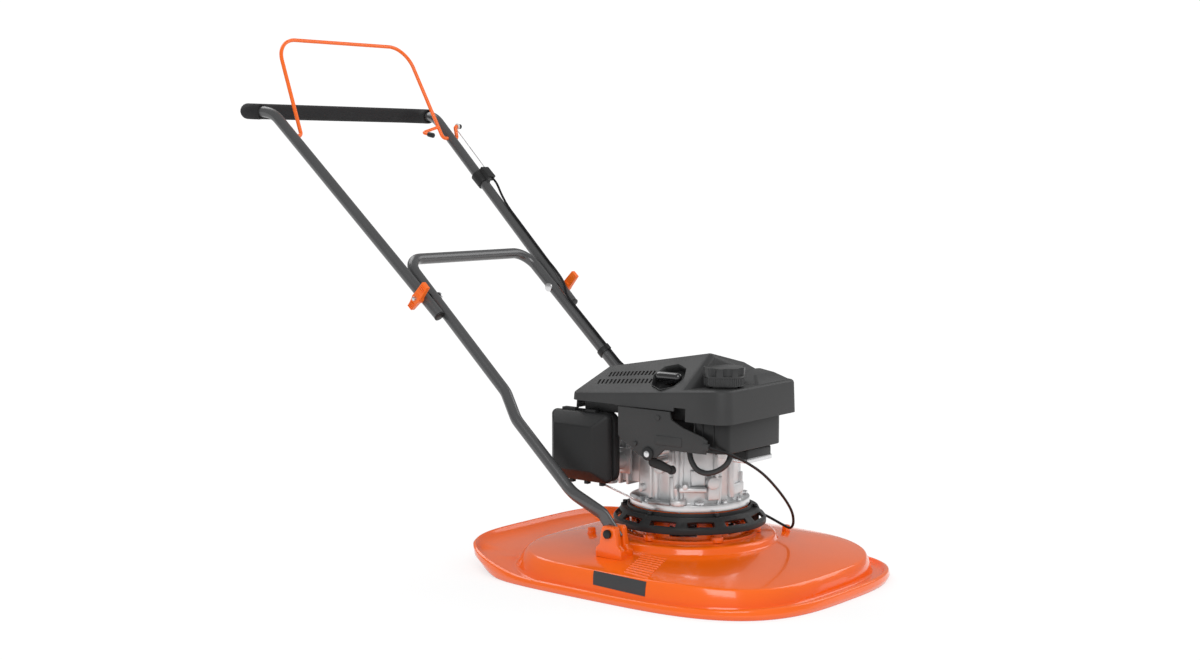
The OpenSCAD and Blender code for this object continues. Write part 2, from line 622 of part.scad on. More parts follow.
// Control panel on the near side with its screw, brake arm and fuel lever
panel_back = -149;
panel_t = 4;
post_y = -18;
post_z = case_top - 9;
arm_y = -112;
arm_z = 270;
arm_pin_r = 3;
lever_y = -16;
lever_z = 228;
lever_hub = 8;
lever_tip = [-40, -10];
valve_x = -128;
module control_panel() {
    about_crank() color("#3c3e40") difference() {
        union() {
            translate([panel_back - panel_t, 0, 0]) rotate([90, 0, 90]) linear_extrude(panel_t)
                polygon([[50, 326], [50, 274], [38, 262], [25, 258], [2, post_z - 4], [post_y, post_z - 9],
                    [-38, post_z - 4], [-55, 257], [-145, 258], [-148, 282], [-138, 288], [-95, 300],
                    [-70, 312], [-66, 326]]);
            translate([panel_back - 2, arm_y, arm_z]) rotate([0, 90, 0]) cylinder(h = 8, r = arm_pin_r);
            translate([panel_back - panel_t - 3, -152, 266]) cube([7, 12, 11]);
            translate([panel_back - 1, -98, 262]) cube([36, 22, 22]);
        }
        translate([panel_back - 20, post_y, post_z]) rotate([0, 90, 0])
            cylinder(h = 40, r = arm_pin_r + run_fit);
    }
}
module panel_screw() {
    about_crank() color("silver") translate([panel_back - panel_t, post_y, post_z]) rotate([0, 90, 0]) {
        translate([0, 0, -4]) cylinder(h = 4, r = 6);
        translate([0, 0, -1]) cylinder(h = 26, r = arm_pin_r);
    }
}
module brake_arm() {
    about_crank() color("silver")
        translate([panel_back + 1.5, arm_y, arm_z]) rotate([90, 0, 90]) difference() {
        union() {
            cylinder(h = 3, r = 8);
            linear_extrude(3) polygon([[2, -6], [-34, -4], [-34, 5], [2, 6]]);
        }
        translate([0, 0, -1]) cylinder(h = 5, r = arm_pin_r + run_fit);
    }
}
module fuel_lever() {
    about_crank() color("#202224")
        translate([valve_x - 7 - gap, lever_y, lever_z]) rotate([90, 0, 90]) difference() {
        union() {
            cylinder(h = 7, r = lever_hub);
            linear_extrude(7) polygon([[2, -6], lever_tip - [-2, 6], lever_tip + [-2, 6], [-2, 6]]);
            translate([lever_tip.x, lever_tip.y, 0]) cylinder(h = 7, r = 8);
        }
        translate([0, 0, -1]) cylinder(h = 9, r = arm_pin_r + run_fit);
    }
}

// Recoil starter: frame over the flywheel, rope pulley, spring, rope and grip
frame_r = 94;
frame_t = 4;
pulley_r = 42;
spindle_r = 8;
near_x = -142;
cover_front = -180;
cover_tail = 168;
slope_deg = 36;
slope_foot = near_x - 5;
pull_axis = [-sin(slope_deg), 0, cos(slope_deg)];
function crease_at(y) = cover_crease_h
    + (cover_tail_h - cover_crease_h) * (y - cover_front) / (cover_tail - cover_front);
function on_slope(y, s) = [slope_foot + s * cos(slope_deg), y, crease_at(y) + s * sin(slope_deg)];
grip_at = on_slope(-38, 38);
module recoil_frame() {
    about_crank() color("#4a4c4e") {
        translate([0, 0, frame_top - frame_t]) cylinder(h = frame_t, r = 50);
        translate([0, 0, pulley_z - 1]) cylinder(h = frame_top - pulley_z, r = spindle_r);
        for (a = [60:120:300]) rotate(a) {
            translate([30, -12, frame_top - frame_t]) cube([frame_r - 32, 24, frame_t]);
            rotate(-7) translate([0, 0, case_top]) rotate_extrude(angle = 14)
                translate([frame_r - 8, 0]) square([8, frame_top - case_top]);
        }
    }
}
module recoil_pulley() {
    about_crank() color("#55585a") translate([0, 0, pulley_z]) rotate_extrude() polygon([
        [spindle_r + run_fit, 0], [pulley_r, 0], [pulley_r, 2], [pulley_rope_r - 2, 4],
        [pulley_rope_r - 2, pulley_h - 4], [pulley_r, pulley_h - 2],
        [pulley_r, pulley_h], [spindle_r + run_fit, pulley_h]]);
}
spring_turns = 4;
module recoil_spring() {
    outer = [for (a = [0:15:360 * spring_turns]) let (r = 11 + 4.5 * a / 360) r * [cos(a), sin(a)]];
    inner = [for (a = [360 * spring_turns:-15:0]) let (r = 10 + 4.5 * a / 360) r * [cos(a), sin(a)]];
    about_crank() color("#9a9c9e") translate([0, 0, pulley_z + pulley_h + gap])
        linear_extrude(frame_top - frame_t - pulley_z - pulley_h - 2 * gap) polygon(concat(outer, inner));
}
rope_r = 1.8;
rope_z = pulley_z + pulley_h / 2;
module starter_rope() {
    foot = grip_at - 16 * pull_axis;
    route = [[0, -pulley_rope_r, rope_z], [-60, -pulley_rope_r, rope_z], foot];
    about_crank() color("#e8e8e8") bar(bent(route, [0, 10, 0]), rope_r, [0, 1, 0], 8);
}
module starter_grip() {
    about_crank() color("#141516") along(grip_at - 15.5 * pull_axis, grip_at) hull() {
        for (y = [-20, 20]) translate([0, y, 16]) sphere(r = 8, $fn = 24);
        cylinder(h = 4, r = 8, $fn = 24);
    }
}

// Top cover: skirt, front deck and hump in one moulding, vented and notched
skirt_low = 311;
hump_front = -96;
front_deck_h = 386;
deck_near = -22;
skirt_corners = [[near_x, cover_front], [82, cover_front], [118, -110], [122, 110], [92, cover_tail],
    [near_x, cover_tail]];
deck_corners = [[deck_near - 14, cover_front + 2], [80, cover_front + 2], [116, -108], [deck_near - 14, -90]];
hump_corners = [[near_x + 3, -98], [116, -108], [120, 108], [90, cover_tail - 2],
    [near_x + 3, cover_tail - 2]];
middle = [-15, 0];
hump_peak = -62;
roof_side = 0.236;
roof_back = 0.21;
function roof_at(c) = cover_h - roof_side * (c.x - hump_peak) - roof_back * (c.y - hump_front);
hump_plan = [[hump_peak, hump_front], [48, hump_front], [40, 110], [-97, 124]];
hump_top = [for (c = hump_plan) [c.x, c.y, roof_at(c)]];
deck_top = [for (c = [[deck_near, -162], [48, -162], [80, -108], [deck_near, -90]]) [c.x, c.y, front_deck_h]];
function inward(c, d) = let (v = unit(middle - [c.x, c.y])) [c.x + v.x * d, c.y + v.y * d];
module posts(corners, r, z0, t, inset) {
    for (c = corners) translate(inward(c, r + inset)) translate([0, 0, z0])
        cylinder(h = crease_at(c.y) - t - z0, r = r, $fn = 32);
}
module peaks(corners, r, inset) {
    for (c = corners) translate(inward(c, r + inset)) translate([0, 0, c.z - 8 - inset])
        cylinder(h = 8, r = r, $fn = 32);
}
module cover_form(t) {
    hull() posts(skirt_corners, 18, skirt_low - (t > 0 ? 1 : 0), t, t * 1.3);
    hull() {
        posts(deck_corners, 8, cover_tail_h - 12, t, t);
        peaks(deck_top, 6, t);
    }
    hull() {
        posts(hump_corners, 10, cover_tail_h - 12, t, t * 1.3);
        peaks(hump_top, 6, t);
    }
}
vent_low = [[117, 27], [-2, 28]];
vent_high = [[104, 53], [2, 58]];
cup_r = 33;
cup_depth = 16;
module vents(count, row) {
    for (i = [0:count - 1]) let (t = i / (count - 1), at = row[0] + (row[1] - row[0]) * t)
        translate(on_slope(at.x, at.y)) rotate([0, -slope_deg, 0]) cube([9, 4.2, 30], center = true);
}
// Posts that carry the cover on the starter frame: the turn of each, and how far under the peak it ends
roof_posts = [[30, 41.5], [150, 27.8], [270, 23]];
// Notches in the near skirt: where each starts and ends along Y, and its top
notches = [[62, 106, 330], [-98, -72, 334], [-73, 63, 328], [105, 185, 322]];
module top_cover() {
    cup_foot = grip_at - cup_depth * pull_axis;
    about_crank() color("#3a3c3e") difference() {
        union() {
            difference() {
                cover_form(0);
                cover_form(cover_wall);
            }
            for (p = roof_posts) rotate(p[0]) translate([40, 0, frame_top])
                cylinder(h = cover_h - p[1] - frame_top, r = 6);
            along(cup_foot - cover_wall * pull_axis, grip_at) cylinder(h = cup_depth, r = cup_r);
        }
        along(cup_foot, grip_at) cylinder(h = 60, r = cup_r - cover_wall);
        along(cup_foot - 9 * pull_axis, grip_at) cylinder(h = 30, r = rope_r + 1.5);
        translate([neck.x, neck.y, cover_crease_h - 20]) cylinder(h = 30, r = neck_r + 3);
        vents(14, vent_low);
        vents(13, vent_high);
        for (n = notches) translate([near_x - 10, n[0], skirt_low - 2])
            cube([30, n[1] - n[0], n[2] - skirt_low + 2]);
    }
}
module oil_plug() {
    about_crank() color("#2a2c2e") rotate(oil_turn)
        translate([case_r - case_wall, 0, case_z + 50]) rotate([0, 90, 0]) {
        cylinder(h = case_wall + 5, r = 11);
        cylinder(h = case_wall + 9, r = 7, $fn = 6);
    }
}

// Rotor: crankshaft, flywheel, impeller, spacers, blade, washer and bolt
module crankshaft() {
    about_crank() color("#b9bbbd") difference() {
        union() {
            translate([0, 0, shaft_end]) cylinder(h = flywheel_z + flywheel_h + 8 - shaft_end, r = shaft_r);
            for (z = [30, 68]) translate([0, 0, case_z + z]) cylinder(h = 12, r = 46);
            translate([0, 26, case_z + 30]) cylinder(h = 50, r = 14);
        }
        translate([0, 0, shaft_end - 1]) cylinder(h = 36, r = bolt_r + run_fit);
    }
}
fan_count = 16;
module flywheel() {
    about_crank() color("#84878a") translate([0, 0, flywheel_z]) difference() {
        union() {
            cylinder(h = 12, r = flywheel_d / 2, $fn = 96);
            cylinder(h = flywheel_h, r = 34);
            around(fan_count, 50) translate([0, -1.5, 11]) cube([flywheel_d / 2 - 53, 3, flywheel_h - 14]);
            translate([0, 0, flywheel_h - 1]) difference() {
                cylinder(h = 21, r = 32);
                translate([0, 0, 1]) cylinder(h = 30, r = 28);
            }
        }
        translate([0, 0, -1]) cylinder(h = flywheel_h + 10, r = shaft_bore);
    }
}
impeller_z = shaft_end + 4;
impeller_top = plinth_h - hood_wall - 7;
module impeller() {
    about_crank() color("#2f3133") difference() {
        union() {
            translate([0, 0, impeller_z]) cylinder(h = 3, r = impeller_d / 2, $fn = 96);
            translate([0, 0, shaft_end]) cylinder(h = impeller_top - shaft_end, r = 26);
            around(vane_count, 25) translate([0, -1.5, impeller_z + 2])
                cube([impeller_d / 2 - 28, 3, impeller_top - impeller_z - 2]);
        }
        translate([0, 0, shaft_end - 1]) cylinder(h = 100, r = shaft_bore);
    }
}
hub_r = 30;
module stack_ring(z, h) {
    translate([0, 0, z]) difference() {
        cylinder(h = h, r = hub_r);
        translate([0, 0, -1]) cylinder(h = h + 2, r = bolt_r + run_fit);
    }
}
module blade_spacers() {
    about_crank() color("#1f2122") for (i = [0, 1]) stack_ring(blade_z + blade_t + i * spacer_t, spacer_t);
}
module blade() {
    tip = blade_d / 2;
    about_crank() color("#6d7073") translate([0, 0, blade_z]) difference() {
        linear_extrude(blade_t) difference() {
            intersection() {
                polygon([[-tip, -blade_w / 2], [-hub_r, -blade_w / 2 - 4],
                    [hub_r, -blade_w / 2 - 4], [tip, -blade_w / 2],
                    [tip, blade_w / 2], [hub_r, blade_w / 2 + 4],
                    [-hub_r, blade_w / 2 + 4], [-tip, blade_w / 2]]);
                circle(r = tip, $fn = 96);
            }
            circle(r = bolt_r + run_fit);
        }
        for (a = [0, 180]) rotate(a) translate([tip - 90, blade_w / 2, blade_t])
            rotate([-30, 0, 0]) cube([120, 20, 10]);
    }
}
washer_t = 3;
module blade_washer() { about_crank() color("silver") stack_ring(blade_z - washer_t, washer_t); }
module blade_bolt() {
    about_crank() color("#c0c2c4") {
        translate([0, 0, blade_z - washer_t - 8]) cylinder(h = 8, r = 9.8, $fn = 6);
        translate([0, 0, blade_z - washer_t - 1])
            cylinder(h = shaft_end - blade_z + washer_t + 32, r = bolt_r);
    }
}

// Lower handle: one bent tube from deck pivot to deck pivot
leg_bends = [0, 28, 80, 60, 60, 40, 40, 60, 60, 80, 28, 0];
leg_tail = leg_pivot - unit(leg_low - leg_pivot) * tail_past_pivot;
leg = [leg_tail, leg_low, leg_mid, leg_jog, leg_kink, leg_top];
lower_path = concat([for (p = leg) side(p, -1)], [for (i = [5:-1:0]) leg[i]]);
tube_sides = 20;
module lower_handle() {
    about_crank() color("#5b5d5f") difference() {
        tube(bent(lower_path, leg_bends), tube_r, tube_r - tube_wall, [0, -slope_z, slope_y], tube_sides);
        for (s = [-1, 1]) {
            translate([s * pivot_x, pivot_y, pivot_z]) rotate([0, 90, 0])
                cylinder(h = 3 * tube_d, r = bolt_r + run_fit, center = true);
            translate([s * lower_x, fold_y, fold_z]) rotate([0, 90, 0])
                cylinder(h = 2 * tube_d, r = fold_r + run_fit, center = true);
        }
    }
}
fold_out = on_upper(0, 0).x + tube_r;
module fold_bolts() {
    about_crank() color("silver") for (s = [-1, 1]) translate([s * (lower_x - tube_r - gap), fold_y, fold_z])
        rotate([0, s * 90, 0]) {
            translate([0, 0, -4]) cylinder(h = 4, r = 9);
            translate([0, 0, -1]) cylinder(h = fold_out - lower_x + tube_r + 22, r = fold_r);
        }
}
module fold_washers() {
    about_crank() color("#1c1c1c") for (s = [-1, 1]) translate([s * (lower_x + tube_r + 0.3), fold_y, fold_z])
        rotate([0, s * 90, 0]) difference() {
            cylinder(h = 1.6, r = 8);
            translate([0, 0, -1]) cylinder(h = 4, r = fold_r + run_fit);
        }
}
nut_t = 14;
module lever_nut(s) {
    about_crank() color("orangered") translate([s * (fold_out + 0.6), fold_y, fold_z])
        rotate([handle_slope, 0, 0]) mirror([s < 0 ? 1 : 0, 0, 0]) difference() {
            union() {
                rotate([0, 90, 0]) cylinder(h = nut_t, r = 10);
                translate([4, 0, 0]) rotate([90, 0, 90]) linear_extrude(nut_t - 5)
                    polygon([[-6, -26], [6, -26], [10, 0], [8, 36], [-8, 36], [-10, 0]]);
            }
            rotate([0, 90, 0]) cylinder(h = 3 * nut_t, r = fold_r + run_fit, center = true);
        }
}
module lever_nut_right() { lever_nut(-1); }
module lever_nut_left() { lever_nut(1); }

// Upper handle: one bent tube with a level bar, foam grip and bail
corner_out = 26;
bar_end = [top_x + corner_out, bar_y, bar_z];
upper_bends = [0, 60, 40, 40, 60, 0];
upper_top = on_upper(top_run, 0);
upper_foot = on_upper(tail_run, 0);
upper_path = [side(upper_foot, -1), side(upper_top, -1), side(bar_end, -1), bar_end, upper_top, upper_foot];
bail_at = on_upper(bail_run, 0);
module upper_handle() {
    about_crank() color("#5b5d5f") difference() {
        tube(bent(upper_path, upper_bends), tube_r, tube_r - tube_wall, [0, 0, 1], tube_sides);
        for (s = [-1, 1]) {
            translate([s * bail_at.x, bail_at.y, bail_at.z]) rotate([0, 90, 0])
                cylinder(h = 2 * tube_d, r = bail_r + run_fit, center = true);
            translate([s * on_upper(0, 0).x, fold_y, fold_z]) rotate([0, 90, 0])
                cylinder(h = 2 * tube_d, r = fold_r + run_fit, center = true);
        }
    }
}
module grip_sleeve() {
    from = upper_top + unit(bar_end - upper_top) * 26;
    line = bent([side(from, -1), side(bar_end, -1), bar_end, from], [0, 40, 40, 0]);
    about_crank() color("#1b1c1d") tube(line, grip_r, tube_r + gap, [0, 0, 1], tube_sides);
}
bail_foot = bail_at.x - tube_r - 14;
bail_out = bail_at.x + tube_r + 9;
bail_top = [bail_x, bail_at.y + bail_l * cos(bail_angle), bail_at.z + bail_l * sin(bail_angle)];
bail_base = [bail_foot, bail_at.y, bail_at.z];
arm_foot = [bail_out, bail_at.y, bail_at.z];
arm_top = arm_foot + [0, 6, 27];
arm_end = arm_top + [14, 0, 0];
hook_root = bail_base + unit(bail_top - bail_base) * 28;
hook_bend = [157, bail_at.y + 14, bail_at.z + 12];
hook_tip = hook_bend + [0, -30, -6];
collar_r = 7;
collar_h = 3.6;
collar_x = arm_top.x + 5.2;
module bail() {
    start = [-bail_at.x - tube_r - 4, bail_at.y, bail_at.z];
    route = [start, side(bail_base, -1), side(bail_top, -1), bail_top, bail_base, arm_foot, arm_top, arm_end];
    about_crank() color("orangered") {
        bar(bent(route, [0, 10, 36, 36, 10, 5, 5, 0]), bail_r, [0, 1, 0], 12);
        bar(bent([hook_root, hook_bend, hook_tip], [0, 8, 0]), bail_r - 0.5, [0, 0, 1], 12);
    }
}
module bail_caps() {
    about_crank() color("#1a1a1a")
        for (e = [[arm_end, [-1, 0, 0], 4], [hook_tip, unit(hook_bend - hook_tip), 12]])
        difference() {
            rod(e[0] - e[1] * 3, e[0] + e[1] * e[2], bail_r + 1.5);
            rod(e[0], e[0] + e[1] * 20, bail_r + run_fit);
        }
}
module bail_collar() {
    about_crank() color("#ecebe6")
        translate([collar_x, arm_top.y, arm_top.z]) rotate([0, 90, 0]) difference() {
        cylinder(h = collar_h, r = collar_r);
        translate([0, 0, -1]) cylinder(h = collar_h + 2, r = bail_r + run_fit);
    }
}

// Brake cable: bracket, clip, bare wire at the bail and the sheathed stretches down to the engine
bracket_run = 334;
bracket_l = 30;
stop_lift = 17;
stop_out = 14;
clip_run = -189;
module at_upper(run) { translate(on_upper(run, 0)) rotate([handle_slope, 0, 0]) children(); }
module upper_bore() { rod(on_upper(tail_run, 0), on_upper(top_run - 30, 0), tube_r + run_fit); }
module cable_bracket() {
    about_crank() color("#1c1d1e") difference() {
        at_upper(bracket_run) {
            rotate([90, 0, 0]) cylinder(h = bracket_l, r = tube_r + 4, center = true);
            translate([-4, -bracket_l / 2, tube_r - 2]) cube([stop_out + 9, bracket_l, 14]);
        }
        upper_bore();
        at_upper(bracket_run) translate([stop_out, 0, stop_lift]) rotate([90, 0, 0])
            cylinder(h = bracket_l + 2, r = wire_r + 0.3, center = true);
    }
}
module cable_clip() {
    about_crank() color("#1c1d1e") translate(on_lower(clip_run, 0))
        rotate([handle_slope, 0, 0]) rotate([90, 0, 0])
        difference() {
            union() {
                cylinder(h = 12, r = tube_r + 2.5, center = true);
                translate([0, cable_off, 0]) cylinder(h = 12, r = cable_r + 2, center = true);
            }
            cylinder(h = 14, r = tube_r + run_fit, center = true);
            translate([0, cable_off, 0]) cylinder(h = 14, r = cable_r + 0.3, center = true);
        }
}
stop_top = on_upper(bracket_run + bracket_l / 2 + gap, stop_lift) + [stop_out, 0, 0];
stop_foot = on_upper(bracket_run - bracket_l / 2 - gap, stop_lift) + [stop_out, 0, 0];
module inner_wire() {
    wire_top = [collar_x + collar_h / 2, arm_top.y, arm_top.z - collar_r - 3 * gap];
    about_crank() color("silver") rod(wire_top, stop_top, wire_r);
}
module cable_upper() {
    route = [stop_foot, on_upper(300, stop_lift) + [stop_out, 0, 0], on_upper(262, cable_off + 1) + [5, 0, 0],
        on_upper(220, cable_off), on_upper(140, cable_off), on_upper(60, cable_off)];
    about_crank() color("#161718") cable(route, cable_r, 4, [1, 0, 0]);
}
module cable_fold() {
    route = [on_upper(60 - gap, cable_off), on_upper(30, cable_off + 1),
        on_lower(-8, cable_off + 6) + [13, 0, 0],
        on_lower(-40, cable_off + 1), on_lower(-66, cable_off)];
    about_crank() color("#161718") cable(route, cable_r, 4, [1, 0, 0]);
}
module cable_lower() {
    route = [on_lower(-66 - gap, cable_off), on_lower(-150, cable_off), on_lower(-230 + gap, cable_off)];
    about_crank() color("#161718") cable(route, cable_r, 4, [1, 0, 0]);
}
module cable_loop() { about_crank() color("#161718") cable(loop_route, cable_r, 3, [1, 0, 0]); }

deck_hood();
engine_platform();
intake_ring();
ring_screws();
pivot_bracket_right();
pivot_bracket_left();
pivot_bolts();
pivot_nuts();
sump_flange();
engine_bolts();
crankcase();
valve_cover();
spark_plug();
plug_lead();
ignition_coil();
carburettor();
air_box_base();
air_filter();
air_box_cover();
muffler();
muffler_guard();
fuel_tank();
fuel_hose();
tank_shoe();
control_panel();
panel_screw();
brake_arm();
fuel_lever();
fuel_cap();
recoil_frame();
recoil_spring();
recoil_pulley();
starter_rope();
starter_grip();
top_cover();
oil_plug();
crankshaft();
flywheel();
impeller();
blade_spacers();
blade();
blade_washer();
blade_bolt();
lower_handle();
fold_bolts();
fold_washers();
lever_nut_right();
lever_nut_left();
upper_handle();
grip_sleeve();
cable_bracket();
cable_clip();
bail();
bail_caps();
bail_collar();
inner_wire();
cable_upper();
cable_fold();
cable_lower();
cable_loop();
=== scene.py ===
import json
from math import atan2, ceil, cos, pi, radians, sin, tan

import bmesh
import bpy
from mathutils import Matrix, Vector


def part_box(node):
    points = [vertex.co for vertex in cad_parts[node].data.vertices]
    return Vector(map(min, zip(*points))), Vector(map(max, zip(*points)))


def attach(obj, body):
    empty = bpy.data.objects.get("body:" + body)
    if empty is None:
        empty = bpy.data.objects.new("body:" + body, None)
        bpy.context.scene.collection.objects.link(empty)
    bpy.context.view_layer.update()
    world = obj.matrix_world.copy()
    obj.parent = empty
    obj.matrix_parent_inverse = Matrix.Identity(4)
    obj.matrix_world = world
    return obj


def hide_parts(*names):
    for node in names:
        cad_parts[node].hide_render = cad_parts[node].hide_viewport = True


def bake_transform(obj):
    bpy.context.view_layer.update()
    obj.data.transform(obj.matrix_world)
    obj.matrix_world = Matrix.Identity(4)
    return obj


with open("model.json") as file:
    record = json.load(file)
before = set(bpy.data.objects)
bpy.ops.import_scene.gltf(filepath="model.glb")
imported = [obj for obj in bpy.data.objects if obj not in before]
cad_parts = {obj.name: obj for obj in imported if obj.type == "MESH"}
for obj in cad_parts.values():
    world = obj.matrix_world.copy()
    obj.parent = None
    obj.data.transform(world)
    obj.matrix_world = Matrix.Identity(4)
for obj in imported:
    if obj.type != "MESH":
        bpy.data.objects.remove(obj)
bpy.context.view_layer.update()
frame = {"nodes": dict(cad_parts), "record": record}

# Studio: a pale floor that takes the mower's soft shadow, a white surround, three large soft lamps,
# and a camera a little above the hood that looks at the front and the right side.
scene = bpy.context.scene
scene.view_settings.view_transform = "Standard"
camera_place = (-2.5955, -2.2180, 0.7658)
camera_tilt = radians(84.5)
camera_turn = radians(-50.86)
bpy.ops.object.camera_add(location=camera_place, rotation=(camera_tilt, 0, camera_turn))
scene.camera = bpy.context.object
scene.camera.data.sensor_width = 36
scene.camera.data.lens = 52.107

floor_size = 60
shadow_reach = (0.75, 1.7)
bpy.ops.mesh.primitive_plane_add(size=floor_size)
floor = bpy.context.object
floor.name = "studio_floor"
paper = bpy.data.materials.new("studio_paper")
paper.use_nodes = True
nodes, links = paper.node_tree.nodes, paper.node_tree.links
nodes["Principled BSDF"].inputs["Base Color"].default_value = (0.9, 0.9, 0.9, 1)
nodes["Principled BSDF"].inputs["Roughness"].default_value = 0.9
nodes["Principled BSDF"].inputs["Specular IOR Level"].default_value = 0
glow = nodes.new("ShaderNodeEmission")
glow.inputs["Strength"].default_value = 1.05
place = nodes.new("ShaderNodeTexCoord")
distance = nodes.new("ShaderNodeVectorMath")
distance.operation = "LENGTH"
fading = nodes.new("ShaderNodeMapRange")
fading.inputs["From Min"].default_value = shadow_reach[0]
fading.inputs["From Max"].default_value = shadow_reach[1]
fading.inputs["To Min"].default_value = 0.70
fading.inputs["To Max"].default_value = 1.0
seen = nodes.new("ShaderNodeLightPath")
either = nodes.new("ShaderNodeMath")
either.operation = "MAXIMUM"
share = nodes.new("ShaderNodeMath")
share.operation = "MULTIPLY"
mixed = nodes.new("ShaderNodeMixShader")
links.new(place.outputs["Object"], distance.inputs[0])
links.new(distance.outputs["Value"], fading.inputs["Value"])
links.new(seen.outputs["Is Camera Ray"], either.inputs[0])
links.new(seen.outputs["Is Glossy Ray"], either.inputs[1])
links.new(either.outputs[0], share.inputs[0])
links.new(fading.outputs[0], share.inputs[1])
links.new(share.outputs[0], mixed.inputs["Fac"])
links.new(nodes["Principled BSDF"].outputs[0], mixed.inputs[1])
links.new(glow.outputs[0], mixed.inputs[2])
links.new(mixed.outputs[0], nodes["Material Output"].inputs["Surface"])
floor.data.materials.append(paper)

surround = bpy.data.worlds.new("studio_surround")
scene.world = surround
surround.use_nodes = True
nodes, links = surround.node_tree.nodes, surround.node_tree.links
seen = nodes.new("ShaderNodeLightPath")
either = nodes.new("ShaderNodeMath")
either.operation = "MAXIMUM"
level = nodes.new("ShaderNodeMapRange")
level.inputs["To Min"].default_value = 0.62
level.inputs["To Max"].default_value = 1.05
links.new(seen.outputs["Is Camera Ray"], either.inputs[0])
links.new(seen.outputs["Is Transmission Ray"], either.inputs[1])
links.new(either.outputs[0], level.inputs["Value"])
dimmed = nodes.new("ShaderNodeMath")
dimmed.operation = "MULTIPLY_ADD"
dimmed.inputs[1].default_value = -0.26
links.new(seen.outputs["Is Glossy Ray"], dimmed.inputs[0])
links.new(level.outputs[0], dimmed.inputs[2])
links.new(dimmed.outputs[0], nodes["Background"].inputs["Strength"])
nodes["Background"].inputs["Color"].default_value = (1, 1, 1, 1)

lamps = {
    "lamp_front": ((-2.6, -2.2, 2.6), 2.2, 62),
    "lamp_side": ((2.4, -1.6, 2.2), 2.0, 26),
    "lamp_back": ((0.4, 2.4, 3.0), 2.4, 40),
}
lamp_target = Vector((0, -0.1, 0.3))
for name, (place, width, power) in lamps.items():
    aim = (lamp_target - Vector(place)).to_track_quat("-Z", "Y").to_euler()
    bpy.ops.object.light_add(type="AREA", location=place, rotation=aim)
    lamp = bpy.context.object
    lamp.name = name
    lamp.data.size = width
    lamp.data.energy = power

# Brake cable, fuel hose and plug lead: rubber and plastic covered lines that hang between two held ends.
# The brake cable leaves the clip on the left leg, lies over the hood and rises round the tank to the
# control panel. The hose runs from the tank to the fuel valve, and the lead from the coil to the plug.
crank_y = sum(corner.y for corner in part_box("crankshaft")) / 2
body_of = {node: body for body, held in frame["record"]["behaviour"]["bodies"].items() for node in held}


def from_crank(x, y, z):
    return Vector((x, y + crank_y, z))


def choose(*pieces):
    bpy.ops.object.select_all(action="DESELECT")
    for piece in pieces:
        piece.select_set(True)
    bpy.context.view_layer.objects.active = pieces[0]


def moulded(name, colour, roughness, grain, depth, mottle=0.10, metal=0.0, coat=0.0, patch=14.0, shine=0.5):
    finish = bpy.data.materials.new(name)
    finish.use_nodes = True
    nodes, links = finish.node_tree.nodes, finish.node_tree.links
    shader = nodes["Principled BSDF"]
    shader.inputs["Metallic"].default_value = metal
    shader.inputs["Coat Weight"].default_value = coat
    shader.inputs["Coat Roughness"].default_value = 0.05
    shader.inputs["Specular IOR Level"].default_value = shine
    place = nodes.new("ShaderNodeTexCoord")
    patches = nodes.new("ShaderNodeTexNoise")
    patches.inputs["Scale"].default_value = patch
    patches.inputs["Detail"].default_value = 4
    tone = nodes.new("ShaderNodeValToRGB")
    tone.color_ramp.elements[0].position = 0.3
    tone.color_ramp.elements[1].position = 0.7
    tone.color_ramp.elements[0].color = (*(c * (1 - mottle) for c in colour), 1)
    tone.color_ramp.elements[1].color = (*(min(c * (1 + mottle), 1) for c in colour), 1)
    gloss = nodes.new("ShaderNodeMapRange")
    gloss.inputs["From Min"].default_value = 0.3
    gloss.inputs["From Max"].default_value = 0.7
    gloss.inputs["To Min"].default_value = roughness * 0.9
    gloss.inputs["To Max"].default_value = roughness * 1.1
    specks = nodes.new("ShaderNodeTexNoise")
    specks.inputs["Scale"].default_value = grain
    specks.inputs["Detail"].default_value = 2
    bump = nodes.new("ShaderNodeBump")
    bump.inputs["Strength"].default_value = 0.6
    bump.inputs["Distance"].default_value = depth
    links.new(place.outputs["Object"], patches.inputs["Vector"])
    links.new(place.outputs["Object"], specks.inputs["Vector"])
    links.new(patches.outputs[0], tone.inputs["Fac"])
    links.new(patches.outputs[0], gloss.inputs["Value"])
    links.new(specks.outputs[0], bump.inputs["Height"])
    links.new(tone.outputs["Color"], shader.inputs["Base Color"])
    links.new(gloss.outputs[0], shader.inputs["Roughness"])
    links.new(bump.outputs["Normal"], shader.inputs["Normal"])
    return finish


def merged(piece, near=1e-5):
    choose(piece)
    bpy.ops.object.mode_set(mode="EDIT")
    bpy.ops.mesh.select_all(action="SELECT")
    bpy.ops.mesh.remove_doubles(threshold=near)
    bpy.ops.mesh.normals_make_consistent(inside=False)
    bpy.ops.object.mode_set(mode="OBJECT")
    return piece


def drawn_round(name, line, radius, facets=6):
    curve = bpy.data.curves.new(name, "CURVE")
    curve.dimensions = "3D"
    curve.bevel_depth = radius
    curve.bevel_resolution = facets
    curve.use_fill_caps = True
    spline = curve.splines.new("POLY")
    spline.points.add(len(line) - 1)
    for point, place in zip(spline.points, line):
        point.co = (*place, 1)
    piece = bpy.data.objects.new(name, curve)
    bpy.context.collection.objects.link(piece)
    choose(piece)
    bpy.ops.object.convert(target="MESH")
    merged(piece)
    bpy.ops.object.shade_smooth_by_angle(angle=radians(40))
    return piece


def flowing(route, steps=6):
    points = [from_crank(*place) for place in route]
    line = []
    for i in range(len(points) - 1):
        a, b = points[max(i - 1, 0)], points[i]
        c, d = points[i + 1], points[min(i + 2, len(points) - 1)]
        for k in range(steps):
            t = k / steps
            bend = (2 * a - 5 * b + 4 * c - d) * t * t + (3 * b - a - 3 * c + d) * t ** 3
            line.append(0.5 * (2 * b + (c - a) * t + bend))
    return line + [points[-1]]


